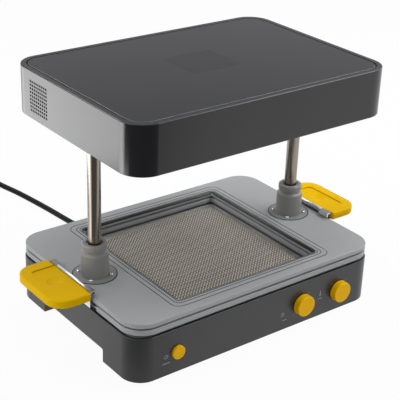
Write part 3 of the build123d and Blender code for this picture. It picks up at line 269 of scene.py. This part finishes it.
def moulded_rubber(name, dark, light, roughness=0.62, specular=0.5):
    """Soft moulded rubber, foam or PVC: dull and dark, and a little greyer where it catches light.
    The fine grain of its skin is drawn at 1.6 mm, so that it shows."""
    material, tree, place = start_finish(name)
    skin = add(tree, "TexNoise", {"Vector": place, "Scale": 1000 / 1.6, "Detail": 3.0}).outputs["Fac"]
    colour = add(tree, "Mix", {"Factor": skin, "A": linear(dark), "B": linear(light)}, data_type="RGBA")
    dull = add(tree, "MapRange", {"Value": skin, "To Min": roughness - 0.08, "To Max": roughness + 0.08})
    relief = add(tree, "Bump", {"Height": skin, "Distance": 0.02 * MM})
    return end_finish(material, {
        "Base Color": colour.outputs["Result"],
        "Roughness": dull.outputs["Result"],
        "Normal": relief.outputs["Normal"],
        "IOR": 1.5,
        "Specular IOR Level": specular,
    })


def fired_ceramic(name):
    """Unglazed heater ceramic: chalky, with faint firing speckle of 1.8 mm."""
    material, tree, place = start_finish(name)
    speckle = add(tree, "TexNoise", {"Vector": place, "Scale": 1000 / 1.8, "Detail": 6.0}).outputs["Fac"]
    tints = {"Factor": speckle, "A": linear("#cfc9bb"), "B": linear("#ebe6da")}
    colour = add(tree, "Mix", tints, data_type="RGBA")
    relief = add(tree, "Bump", {"Height": speckle, "Distance": 0.04 * MM})
    return end_finish(material, {
        "Base Color": colour.outputs["Result"],
        "Normal": relief.outputs["Normal"],
        "Roughness": 0.8,
    })


def laid_blanket(name):
    """Ceramic fibre blanket: soft, white and lumpy, with 3 mm tufts."""
    material, tree, place = start_finish(name)
    tuft = add(tree, "TexNoise", {"Vector": place, "Scale": 1000 / 3, "Detail": 8.0}).outputs["Fac"]
    tints = {"Factor": tuft, "A": linear("#d2cfc4"), "B": linear("#e6e3da")}
    colour = add(tree, "Mix", tints, data_type="RGBA")
    relief = add(tree, "Bump", {"Height": tuft, "Distance": 0.5 * MM})
    return end_finish(material, {
        "Base Color": colour.outputs["Result"],
        "Normal": relief.outputs["Normal"],
        "Roughness": 0.95,
    })


def masked_board(name):
    """Solder mask over woven glass: green with a faint weave.
    The real weave is about 0.6 mm and is drawn at 1.2 mm, so that it shows."""
    material, tree, place = start_finish(name)
    weave = add(tree, "TexWave", {"Vector": place, "Scale": 260.0, "Distortion": 0.4}).outputs["Fac"]
    tints = {"Factor": weave, "A": linear("#214a2e"), "B": linear("#2f6b41")}
    colour = add(tree, "Mix", tints, data_type="RGBA")
    return end_finish(material, {"Base Color": colour.outputs["Result"], "Roughness": 0.35, "IOR": 1.5})


def screen_print(name):
    """Pale grey pad-printed ink: thin, matt and slightly uneven, in patches of 0.8 mm."""
    material, tree, place = start_finish(name)
    cover = add(tree, "TexNoise", {"Vector": place, "Scale": 1000 / 0.8, "Detail": 4.0}).outputs["Fac"]
    tints = {"Factor": cover, "A": linear("#85878a"), "B": linear("#a6a8ab")}
    colour = add(tree, "Mix", tints, data_type="RGBA")
    return end_finish(material, {"Base Color": colour.outputs["Result"], "Roughness": 0.6, "IOR": 1.45})


DARK_CASING = moulded_abs("dark_grey_moulded_abs", "#131316", "#16171a", 0.2, ior=1.55)
# the base is sparked a little coarser than the head: the knobs only shade it and do not mirror in it
BASE_CASING = moulded_abs("satin_grey_moulded_abs", "#202021", "#252526", 0.34, ior=1.55, edge_mm=0.2)
# the pale edge colour is a painted highlight, and the near-black hole colour is painted shade in the holes
# and groove
TOP_PANEL = drilled_abs(
    "dark_grey_drilled_abs", "#16161b", "#191a20", "#88888c", "#0c0c0c", 0.24,
    centre_mm=(2.0, 6.0), size_mm=(70.4, 63.8), pitch_mm=2.2, hole_mm=1.1,
)
# the grille is part of the head's wall, so its skin has nearly the casing's colours; its hole walls are
# painted near black as painted shade
GRILLE = punched_abs("punched_grey_abs", "#141519", "#020202")
YELLOW_GRIP = moulded_abs("yellow_moulded_abs", "#d2a600", "#dcb000", 0.42, specular=0.04)
YELLOW_KNOB = moulded_abs("yellow_turned_abs", "#e6ae00", "#eeb600", 0.36, specular=0.12)
BUSH_PLASTIC = moulded_abs("grey_moulded_acetal", "#828281", "#8c8c8b", 0.45)
BLACK_PLASTIC = moulded_abs("black_glass_filled_nylon", "#141415", "#1d1d1e", 0.5)
# the same coat on both trays, with painted shade dark in the ring grooves that only the upper one has
TRAY_COAT = powder_coat("silver_powder_coated_aluminium", "#929496", "#9b9d9f", 0.42)
GROOVE_SHADED_COAT = powder_coat("silver_powder_coat_painted_groove_shade", "#929496", "#9b9d9f", 0.42, groove="#0c0c0d")
COLLAR_COAT = powder_coat("grey_powder_coated_collar", "#7d7d7c", "#888887", 0.36)
COLUMN_STEEL = drawn_stainless("drawn_stainless_column", "#837c72", "#a49c92", 0.17)
BED_STEEL = mill_metal("expanded_stainless_sheet", "#cdc7bb", "#e2dcd0", 0.42, 0.45)
RIM_STEEL = mill_metal("stamped_stainless_rim", "#8f9092", "#9fa0a2", 0.45, 0.5)
PLAIN_STEEL = mill_metal("zinc_plated_steel", "#8b8d90", "#a5a7aa")
SHEET_ALUMINIUM = mill_metal("mill_finish_aluminium", "#a9abad", "#c2c4c6", 0.32)
BRASS = mill_metal("turned_brass", "#b8963c", "#d3b25a", 0.25)
CHROME = chrome_plate("chrome_plated_steel")
# brushed a little duller than the chrome, so that the thin hem draws one soft bright line
HEM_STEEL = mill_metal("polished_stainless_hem", "#e4e4e6", "#f2f2f4", 0.3)
RUBBER = moulded_rubber("black_seal_rubber", "#141414", "#222222")
# the two seals that lie in the opening are painted grey, lighter than their black rubber, as painted light;
# the others are black
LIGHTENED_SEAL = moulded_rubber("seal_rubber_painted_lighter", "#626261", "#6e6e6d")
# near black, for the strip laid as painted shade in the head panel's groove
SHADE_STRIP_BLACK = moulded_rubber("black_painted_shade_strip", "#040404", "#080808", 0.9)
CORD_JACKET = moulded_rubber("black_pvc_cord_jacket", "#040404", "#090909", 0.5, specular=0.21)
CERAMIC = fired_ceramic("unglazed_heater_ceramic")
BOARD = masked_board("green_circuit_board")
WOOL = laid_blanket("ceramic_fibre_blanket")
PRINT = screen_print("pale_grey_pad_print")

SLOT_FINISH = {
    "dark_casing": DARK_CASING,
    "light_tray": TRAY_COAT,
    "grey_collar": COLLAR_COAT,
    "column_steel": COLUMN_STEEL,
    "bed_steel": BED_STEEL,
    "bright_latch": CHROME,
    "yellow_grip": YELLOW_GRIP,
    "yellow_button": YELLOW_KNOB,
    "black_plastic": BLACK_PLASTIC,
    "rubber_black": RUBBER,
    "cord_black": CORD_JACKET,
    "steel_plain": PLAIN_STEEL,
    "sheet_aluminium": SHEET_ALUMINIUM,
    "bush_plastic": BUSH_PLASTIC,
    "board_green": BOARD,
    "heater_ceramic": CERAMIC,
    "pin_brass": BRASS,
    "insulation_wool": WOOL,
}
# pieces whose finish differs from that of their slot
NODE_FINISH = {
    "head_top_panel": TOP_PANEL,
    "vent_grille": GRILLE,
    "base_housing": BASE_CASING,
    "base_plinth": BASE_CASING,
    "collar_screws": CHROME,
    "upper_tray": GROOVE_SHADED_COAT,
    "bed_seal": LIGHTENED_SEAL,
    "lower_gasket": LIGHTENED_SEAL,
}
slot_of = {part["node"]: part["material_slot"] for part in frame["record"]["subparts"]}
for node_name, node_object in frame["nodes"].items():
    finish = NODE_FINISH.get(node_name, SLOT_FINISH[slot_of[node_name]])
    for slot in node_object.material_slots:
        slot.material = finish


# ---------------------------------------------------------------- meshes
# corners nearer to each other than this are one corner
SAME_SPOT = 1e-7


def make_object(name, mesh_source, material, body=MACHINE):
    """Turn a bmesh into a named object that rides on a body."""
    mesh = bpy.data.meshes.new(name)
    mesh_source.to_mesh(mesh)
    mesh_source.free()
    mesh.materials.append(material)
    made = bpy.data.objects.new(name, mesh)
    bpy.context.scene.collection.objects.link(made)
    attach(made, body)
    return made


def smooth(made, angle=35):
    """Shade smooth, but keep the corners sharper than angle."""
    made.data.shade_smooth()
    for edge in made.data.edges:
        edge.use_edge_sharp = False
    made.data.set_sharp_from_angle(angle=radians(angle))
    return made


def turned(name, profile, material, body=MACHINE, place=Matrix(), steps=48):
    """Turn a profile of (radius, height) points round an axis, as on a lathe."""
    source = bmesh.new()
    points = [source.verts.new((r, 0, h)) for r, h in profile]
    edges = [source.edges.new(pair) for pair in zip(points, points[1:])]
    centre, axis = (0, 0, 0), (0, 0, 1)
    whole = {"angle": 2 * pi, "steps": steps, "use_merge": True}
    bmesh.ops.spin(source, geom=points + edges, cent=centre, axis=axis, **whole)
    bmesh.ops.remove_doubles(source, verts=source.verts, dist=SAME_SPOT)
    bmesh.ops.recalc_face_normals(source, faces=source.faces)
    bmesh.ops.transform(source, matrix=place, verts=source.verts)
    return smooth(make_object(name, source, material, body))


# ---------------------------------------------------------------- forming bed
def make_bed_mesh(pitch, hole):
    """Expanded stainless sheet: diamond holes in staggered rows, with strands that tilt a little.
    One cell holds a whole hole and four quarters, and is repeated both ways."""
    low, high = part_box("forming_mesh")
    count = round((high[0] - low[0]) / pitch)
    cell = (high[0] - low[0]) / count
    cut = hole / 2 / cell
    tilt = 0.5 * MM
    outline = [(cut, 0), (1 - cut, 0), (1, cut), (1, 1 - cut), (1 - cut, 1), (cut, 1), (0, 1 - cut), (0, cut)]
    diamond = [(0.5, 0.5 - cut), (0.5 + cut, 0.5), (0.5, 0.5 + cut), (0.5 - cut, 0.5)]
    source = bmesh.new()
    levels = []
    for z in (low[2], high[2] - tilt):
        outer = [(u, v, z + tilt if v in (0, 1) else z) for u, v in outline]
        inner = [(u, v, z + tilt if u == 0.5 else z) for u, v in diamond]
        levels.append([
            [source.verts.new((low[0] + u * cell, low[1] + v * cell, h)) for u, v, h in loop]
            for loop in (outer, inner)
        ])
    for outer, inner in levels:
        for k in range(4):
            source.faces.new((outer[2 * k], outer[2 * k + 1], inner[k]))
            source.faces.new((outer[2 * k + 1], outer[(2 * k + 2) % 8], inner[(k + 1) % 4], inner[k]))
    (outer_low, inner_low), (outer_high, inner_high) = levels
    for k in range(4):
        m = (k + 1) % 4
        source.faces.new((inner_low[k], inner_low[m], inner_high[m], inner_high[k]))
        start, end = 2 * k + 1, (2 * k + 2) % 8
        source.faces.new((outer_low[start], outer_low[end], outer_high[end], outer_high[start]))
    bmesh.ops.recalc_face_normals(source, faces=source.faces)
    made = make_object("forming_bed_mesh", source, BED_STEEL)
    for axis in (0, 1):
        step = made.modifiers.new("repeat", "ARRAY")
        step.count = count
        step.use_relative_offset = False
        step.use_constant_offset = True
        step.constant_offset_displace = [cell if i == axis else 0 for i in range(3)]
        step.use_merge_vertices = True
        step.merge_threshold = 1e-5
    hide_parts("forming_mesh")


def rounded_outline(half_x, half_y, corner, steps=8):
    """Points of a rectangle with rounded corners, all the way round."""
    points = []
    for quarter, (side_x, side_y) in enumerate(((1, 1), (-1, 1), (-1, -1), (1, -1))):
        for k in range(steps + 1):
            angle = radians(90 * (quarter + k / steps))
            x = side_x * (half_x - corner) + corner * cos(angle)
            y = side_y * (half_y - corner) + corner * sin(angle)
            points.append((x, y))
    return points


def laid_frame(name, half_x, half_y, corner, section, material):
    """A closed frame: each (inset, z) point of its section goes once round the rectangle."""
    source = bmesh.new()
    rings = []
    for inset, z in section:
        outline = rounded_outline(half_x - inset, half_y - inset, corner - inset)
        rings.append([source.verts.new((x, y, z)) for x, y in outline])
    for ring, after in zip(rings, rings[1:] + rings[:1]):
        for k in range(len(ring)):
            m = (k + 1) % len(ring)
            source.faces.new((ring[k], ring[m], after[m], after[k]))
    bmesh.ops.recalc_face_normals(source, faces=source.faces)
    smooth(make_object(name, source, material), angle=50)


def make_bed_rim(width):
    """The flat stamped rim that holds the mesh down all round, with its edges broken."""
    low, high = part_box("forming_mesh")
    overlap = 0.4 * MM
    corner = 5.8 * MM
    edge = 0.3 * MM
    top = high[2] + 0.5 * MM
    shoulder = top - 0.2 * MM
    outside = (high[0] - low[0]) / 2 - overlap + width
    section = [(0, high[2]), (0, shoulder), (edge, top), (width - edge, top), (width, shoulder)]
    section.append((width, high[2]))
    laid_frame("forming_bed_rim", outside, outside, corner, section, RIM_STEEL)


def make_panel_seal():
    """A near-black strip at the bottom of the groove round the head's top panel, laid there as painted shade.
    """
    low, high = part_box("head_top_panel")
    panel_corner = 21.4 * MM
    width = 1.7 * MM
    bottom = low[2] + 0.02 * MM
    top = bottom + 0.9 * MM
    section = [(0, bottom), (0, top), (width, top), (width, bottom)]
    half_x, half_y = high[0] + width, high[1] + width
    laid_frame("head_panel_groove_shade_strip", half_x, half_y, panel_corner + width, section, SHADE_STRIP_BLACK)


def make_collar_screw_heads():
    """Domed socket heads over the eight collar screws, let a little into the CAD's plain heads."""
    circle = 20 * MM
    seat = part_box("collar_screws")[1][2] - 0.7 * MM
    dome = [(2.4, 0), (2.4, 0.5), (2.2, 1.0), (1.7, 1.4), (1.15, 1.6), (0.95, 1.55), (0.9, 0.7), (0, 0.6)]
    profile = [(r * MM, h * MM) for r, h in dome]
    for side in ("left", "right"):
        low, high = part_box("collar_" + side)
        centre_x = (low[0] + high[0]) / 2
        for turn in (45, 135, 225, 315):
            angle = radians(turn)
            spot = Vector((centre_x + circle * cos(angle), circle * sin(angle), seat))
            name = "collar_screw_head_" + side + "_" + str(turn)
            head = turned(name, profile, CHROME, CLAMPING_TRAY, Matrix.Translation(spot), steps=24)


def make_flange_seals():
    """A ring of the black rubber finish laid in the gap round each collar's flange, as painted shade."""
    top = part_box("upper_tray")[1][2]
    section = [(26.0, -0.3), (26.0, 0.3), (26.3, 0.5), (26.8, 0.5), (27.1, 0.3), (27.1, -0.3)]
    profile = [(r * MM, h * MM) for r, h in section]
    for side in ("left", "right"):
        low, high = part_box("collar_" + side)
        place = Matrix.Translation(((low[0] + high[0]) / 2, 0, top))
        seal = turned("flange_shade_ring_" + side, profile, RUBBER, CLAMPING_TRAY, place)


make_bed_mesh(pitch=4.4 * MM, hole=3.5 * MM)
make_bed_rim(width=3.2 * MM)
make_panel_seal()
make_collar_screw_heads()
make_flange_seals()

# ---------------------------------------------------------------- printed marks
def make_front_marks():
    """Thin printed lines on the front wall, in millimetres: ticks round each knob, and plain signs.
    The signs are a clock, a thermometer and an on and off sign, each with a bar beside or under it."""
    ink_thickness = 0.04 * MM
    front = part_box("base_housing")[0][1] - ink_thickness
    source = bmesh.new()

    def draw(line, width):
        """Lay a ribbon along a line of (x, z) points in millimetres."""
        for (x0, z0), (x1, z1) in zip(line, line[1:]):
            along = Vector((x1 - x0, z1 - z0)).normalized()
            side = Vector((-along.y, along.x)) * width / 2
            corners = [(x0 - side.x, z0 - side.y), (x1 - side.x, z1 - side.y)]
            corners += [(x1 + side.x, z1 + side.y), (x0 + side.x, z0 + side.y)]
            source.faces.new([source.verts.new((x * MM, front, z * MM)) for x, z in corners])

    def ring(centre, radius, start, end, steps=20):
        """Points on an arc, by angle in degrees from the right."""
        angles = [radians(start + (end - start) * k / steps) for k in range(steps + 1)]
        return [(centre[0] + radius * cos(a), centre[1] + radius * sin(a)) for a in angles]

    for knob in ("timer_knob", "temperature_knob"):
        low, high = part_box(knob)
        middle = ((low[0] + high[0]) / 2 / MM, (low[2] + high[2]) / 2 / MM)
        knob_radius = (high[0] - low[0]) / 2 / MM
        tick = (knob_radius + 2.2, knob_radius + 3.8)
        for turn in (-45, 0, 45, 90, 135, 180, 225):
            angle = radians(turn)
            draw([(middle[0] + r * cos(angle), middle[1] + r * sin(angle)) for r in tick], 0.5)
    clock = (33.5, 24.5)
    draw(ring(clock, 2.6, 0, 360), 0.6)
    draw([(clock[0], clock[1] + 1.8), clock, (clock[0] + 1.3, clock[1])], 0.6)
    draw([(34.0, 16.0), (41.0, 16.0)], 0.9)
    bulb = (95.0, 32.5)
    draw(ring(bulb, 1.1, -250, 70), 0.8)
    draw([bulb, (bulb[0], bulb[1] + 6.0)], 1.1)
    draw([(92.0, 27.6), (98.5, 27.6)], 0.9)
    power = (-141.5, 28.5)
    draw(ring(power, 2.4, -240, 60), 0.6)
    draw([(power[0], power[1] + 0.4), (power[0], power[1] + 3.0)], 0.6)
    draw([(-146.0, 19.6), (-135.5, 19.6)], 0.9)
    bmesh.ops.recalc_face_normals(source, faces=source.faces)
    made = make_object("front_wall_print", source, PRINT)


make_front_marks()

# ---------------------------------------------------------------- latches
def make_latch_lip(side, sign):
    """The rolled hem along the top of a latch bracket, between its two clamping tabs, with rounded ends."""
    bracket_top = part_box("latch_bracket_" + side)[1][2]
    handle_low, handle_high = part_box("handle_" + side)
    inner = handle_high[0] if sign < 0 else handle_low[0]
    half_length = 29.6 * MM
    end_round = 0.5 * MM
    radius = 1.6 * MM
    centre_x, centre_z = inner - sign * 2.9 * MM, bracket_top - 0.5 * MM
    steps = 16
    straight = half_length - end_round
    stations = [(-half_length, 0.0), (-half_length, 0.8), (-straight, 1.0)]
    stations += [(straight, 1.0), (half_length, 0.8), (half_length, 0.0)]
    source = bmesh.new()
    rings = []
    for y, share in stations:
        ring = []
        for k in range(steps):
            angle = 2 * pi * k / steps
            x = centre_x + share * radius * cos(angle)
            z = centre_z + share * radius * sin(angle)
            ring.append(source.verts.new((x, y, z)))
        rings.append(ring)
    for ring, after in zip(rings, rings[1:]):
        for k in range(steps):
            m = (k + 1) % steps
            source.faces.new((ring[k], ring[m], after[m], after[k]))
    bmesh.ops.remove_doubles(source, verts=source.verts, dist=SAME_SPOT)
    bmesh.ops.recalc_face_normals(source, faces=source.faces)
    made = smooth(make_object("latch_lip_" + side, source, HEM_STEEL, side + "_latch"), angle=50)


make_latch_lip("left", -1)
make_latch_lip("right", 1)

# ---------------------------------------------------------------- mains lead
CORD_RADIUS = 4.0 * MM
# the rest of the lead's places are in millimetres; the route runs from the back wall to the coil
FLOOR_HEIGHT = 4.05
ROUTE = [
    (-33.0, 172.5, 32.0),
    (-33.0, 196.0, 32.0),
    (-32.2, 222.0, 21.0),
    (-31.2, 246.0, FLOOR_HEIGHT + 2.0),
    (-31.8, 272.0, FLOOR_HEIGHT),
    (-35.0, 308.0, FLOOR_HEIGHT),
    (-39.8, 348.0, FLOOR_HEIGHT),
    (-46.4, 394.0, FLOOR_HEIGHT),
    (-56.0, 436.0, FLOOR_HEIGHT),
    (-56.0, 464.0, FLOOR_HEIGHT),
]
COIL_CENTRE = (-112.0, 478.0)
TURN_GAP = 8.6
OUTER_TURN = 56.0
INNER_TURN = 38.8
# radius and height of the lead each time that it crosses the coil's middle line: inwards on the table,
# up onto the lower layer, and outwards again
CROSSINGS = [(OUTER_TURN - k * TURN_GAP / 2, FLOOR_HEIGHT) for k in range(5)]
CROSSINGS.append((OUTER_TURN - 5 * TURN_GAP / 2, FLOOR_HEIGHT + TURN_GAP))
CROSSINGS += [(INNER_TURN + (k + 1) * TURN_GAP / 2, FLOOR_HEIGHT + TURN_GAP) for k in range(3)]
STEPS = 8


def coil_points():
    """The put-away turns: eight points to each half turn, spread for the spline's inward pull."""
    spread = 1 / cos(pi / (2 * STEPS))
    points = []
    for k, ((r0, z0), (r1, z1)) in enumerate(zip(CROSSINGS, CROSSINGS[1:])):
        for j in range(STEPS):
            share = (j + 0.5) / STEPS
            angle = pi * (k + share)
            middle = (r0 - r1) / 2 * (-1) ** k
            radius = (r0 + r1) / 2 * spread
            x = COIL_CENTRE[0] + middle + radius * cos(angle)
            y = COIL_CENTRE[1] + radius * sin(angle)
            points.append((x, y, z0 + (z1 - z0) * share))
    return points


def make_lead():
    """One smooth line from the strain relief to the plug."""
    last_radius, last_height = CROSSINGS[-1]
    end_x = COIL_CENTRE[0] + last_radius * (-1) ** (len(CROSSINGS) - 1)
    tail = [(end_x, COIL_CENTRE[1] + ahead, last_height) for ahead in (12.0, 36.0)]
    points = ROUTE + coil_points() + tail
    curve = bpy.data.curves.new("mains_lead", "CURVE")
    curve.dimensions = "3D"
    curve.bevel_depth = CORD_RADIUS
    curve.bevel_resolution = 6
    curve.use_fill_caps = True
    spline = curve.splines.new("NURBS")
    spline.points.add(len(points) - 1)
    for point, (x, y, z) in zip(spline.points, points):
        point.co = (x * MM, y * MM, z * MM, 1.0)
    spline.order_u = 3
    spline.use_endpoint_u = True
    spline.resolution_u = 8
    curve.materials.append(CORD_JACKET)
    lead = bpy.data.objects.new("mains_lead", curve)
    bpy.context.scene.collection.objects.link(lead)
    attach(lead, MACHINE)
    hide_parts("mains_cord", "cord_coil")
    return lead


def make_strain_relief():
    """The soft ribbed sleeve that keeps the lead from kinking at the back wall.
    Its profile is (radius, distance back) in millimetres: a flange, then ribs that taper to the lead."""
    low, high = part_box("cord_strain_relief")
    inside, end = low[1] / MM, high[1] / MM
    flange = 132.0
    profile = [(0.0, inside), (7.0, inside), (7.0, flange), (8.4, flange), (9.0, flange + 0.6)]
    profile += [(9.0, flange + 1.9), (8.4, flange + 2.5), (6.9, flange + 2.5)]
    ribs = 8
    groove_depth = 1.0
    start = flange + 4.5
    pitch = (end - start) / ribs
    for k in range(ribs):
        crest = 6.9 - 1.8 * k / ribs
        root = crest - groove_depth
        y = start + k * pitch
        profile += [(crest, y), (crest - 0.15, y + 0.62 * pitch)]
        profile += [(root, y + 0.7 * pitch), (root, y + 0.92 * pitch)]
    profile += [(4.9, end), (0.0, end)]
    place = Matrix.Translation((-33.0 * MM, 0, 32.0 * MM)) @ Matrix.Rotation(radians(-90), 4, "X")
    made = turned("lead_strain_relief", [(r * MM, h * MM) for r, h in profile], RUBBER, place=place, steps=32)
    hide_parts("cord_strain_relief")


def make_tie():
    """A hook-and-loop strap, in millimetres, round the turns on the side of the coil next to the machine."""
    inner, outer = 31.5, 61.5
    low, high = 0.6, 17.6
    corner = 3.0
    half_width = 6.0
    path = []
    for centre_r, centre_z, start in (
        (outer - corner, high - corner, 0),
        (inner + corner, high - corner, 90),
        (inner + corner, low + corner, 180),
        (outer - corner, low + corner, 270),
    ):
        for step in range(5):
            angle = radians(start + 22.5 * step)
            path.append((centre_r + corner * cos(angle), centre_z + corner * sin(angle)))
    source = bmesh.new()
    rows = []
    for side in (-half_width, half_width):
        x = (COIL_CENTRE[0] + side) * MM
        rows.append([source.verts.new((x, (COIL_CENTRE[1] - r) * MM, z * MM)) for r, z in path])
    for k in range(len(path)):
        after = (k + 1) % len(path)
        source.faces.new((rows[0][k], rows[0][after], rows[1][after], rows[1][k]))
    bmesh.ops.recalc_face_normals(source, faces=source.faces)
    made = make_object("lead_tie", source, RUBBER)
    thick = made.modifiers.new("thickness", "SOLIDIFY")
    thick.thickness = 0.9 * MM
    thick.offset = 0
    return made


lead = make_lead()
make_strain_relief()
tie = make_tie()


# ---------------------------------------------------------------- studio
def make_camera():
    """The photograph's viewpoint: front left, looking down. Its place, turn, lens and shift were worked
    out from the machine's square corners."""
    right = Vector((0.79823092, -0.60148009, 0.03238969))
    up = Vector((0.23673384, 0.36270882, 0.90133201))
    back = right.cross(up)
    data = bpy.data.cameras.new("viewpoint")
    data.lens = 100.045
    data.sensor_width = 36.0
    data.shift_x = 0.00302
    data.shift_y = 0.00438
    data.clip_start = 0.05
    data.clip_end = 50.0
    camera = bpy.data.objects.new("viewpoint", data)
    turn = Matrix((right, up, back)).transposed().to_4x4()
    camera.matrix_world = Matrix.Translation((-0.768692, -0.988172, 0.733399)) @ turn
    bpy.context.scene.collection.objects.link(camera)
    bpy.context.scene.camera = camera


def white_card(name, shade, glow):
    """Matt white paper, plain white for the eye.
    Its mirror image is painted darker towards the front left, as painted shade on what metal and gloss mirror
    of it."""
    to_back_right = (0.78, 0.625, 0.0)
    material = bpy.data.materials.new(name)
    material.use_nodes = True
    tree = material.node_tree
    tree.nodes.clear()
    paper = add(tree, "BsdfDiffuse", {"Color": linear(shade)})
    path = add(tree, "LightPath")
    spot = add(tree, "TexCoord").outputs["Object"]
    along = add(tree, "VectorMath", {0: spot, 1: to_back_right}, operation="DOT_PRODUCT").outputs["Value"]
    # painted shade: the strength that mirrors see falls by place, from 1 at the back right to 0.12 at the
    # front left
    fall = {"Value": along, "From Min": -0.35, "From Max": -0.17, "To Min": 0.12, "To Max": 1.0}
    painted_dimming = add(tree, "MapRange", fall).outputs["Result"]
    strength = add(tree, "Math", {0: path.outputs["Is Camera Ray"], 1: painted_dimming}, operation="MAXIMUM")
    light = add(tree, "Emission", {"Color": linear("#ffffff"), "Strength": strength.outputs[0]})
    seen = path.outputs["Is Camera Ray"]
    for ray in ("Is Glossy Ray", "Is Transmission Ray"):
        seen = add(tree, "Math", {0: seen, 1: path.outputs[ray]}, operation="MAXIMUM").outputs[0]
    share = add(tree, "Math", {0: seen, 1: glow}, operation="MULTIPLY")
    mix = add(tree, "MixShader", {0: share.outputs[0], 1: paper.outputs[0], 2: light.outputs[0]})
    add(tree, "OutputMaterial", {"Surface": mix.outputs[0]})
    return material


def make_floor():
    """A white table top that reaches past the view, just under the rubber feet."""
    reach = 6
    level = -0.0002
    source = bmesh.new()
    corners = ((-reach, -reach), (reach, -reach), (reach, reach), (-reach, reach))
    source.faces.new([source.verts.new((x, y, level)) for x, y in corners])
    mesh = bpy.data.meshes.new("table_top")
    source.to_mesh(mesh)
    source.free()
    mesh.materials.append(white_card("white_table_top", "#cccccc", 0.95))
    table = bpy.data.objects.new("table_top", mesh)
    bpy.context.scene.collection.objects.link(table)


def make_world():
    """Soft studio air: a white horizon that falls to light grey overhead."""
    world = bpy.data.worlds.new("studio_air")
    world.use_nodes = True
    tree = world.node_tree
    tree.nodes.clear()
    height = add(tree, "SeparateXYZ", {0: add(tree, "TexCoord").outputs["Generated"]}).outputs["Z"]
    fall = {"Value": height, "From Min": 0.02, "From Max": 0.6, "To Min": 0.85, "To Max": 0.12}
    strength = add(tree, "MapRange", fall).outputs["Result"]
    sky = add(tree, "Background", {"Color": linear("#ffffff"), "Strength": strength})
    add(tree, "OutputWorld", {"Surface": sky.outputs[0]})
    bpy.context.scene.world = world


def softbox(name, place, aim, width, height, power, grid=180):
    """A flat lamp of width by height in metres and power in watts, turned towards aim.
    A honeycomb grid narrows its beam to grid degrees."""
    data = bpy.data.lights.new(name, "AREA")
    data.shape = "RECTANGLE"
    data.size = width
    data.size_y = height
    data.energy = power
    data.spread = radians(grid)
    lamp = bpy.data.objects.new(name, data)
    lamp.location = place
    lamp.rotation_euler = (Vector(aim) - Vector(place)).to_track_quat("-Z", "Y").to_euler()
    lamp.visible_camera = False
    bpy.context.scene.collection.objects.link(lamp)


make_camera()
make_floor()
make_world()
softbox("back_strip", (-0.25, 1.3, 1.45), (0, 0, 0.2), 1.5, 0.45, 11.5)
softbox("right_strip", (1.12, -0.35, 1.55), (0, 0, 0.15), 1.8, 0.55, 22)
softbox("left_softbox", (-1.3, 0.2, 1.1), (0, 0, 0.1), 1.2, 1.0, 10)
softbox("right_softbox", (1.4, 0.1, 0.9), (0, 0, 0.1), 1.0, 0.8, 5)
softbox("right_front_softbox", (0.9, -1.3, 1.3), (0, 0, 0.1), 0.8, 0.8, 4.5)
softbox("overhead_softbox", (0.0, 0.1, 2.2), (0, 0, 0.1), 1.6, 1.6, 12)
# low strips behind honeycomb grids, for the shine down the left wall, round its corner and down the column
softbox("wall_strip", (-0.405, 0.41, 0.112), (-0.185, -0.03, 0.301), 0.43, 0.19, 0.073, grid=55)
softbox("corner_strip", (-0.55, 0.15, 0.1), (-0.178, -0.10, 0.285), 0.23, 0.16, 0.042, grid=45)
softbox("column_strip", (-0.385, 0.05, 0.08), (-0.153, 0.0, 0.172), 0.34, 0.15, 0.042, grid=55)

bpy.context.scene.view_settings.view_transform = "Standard"
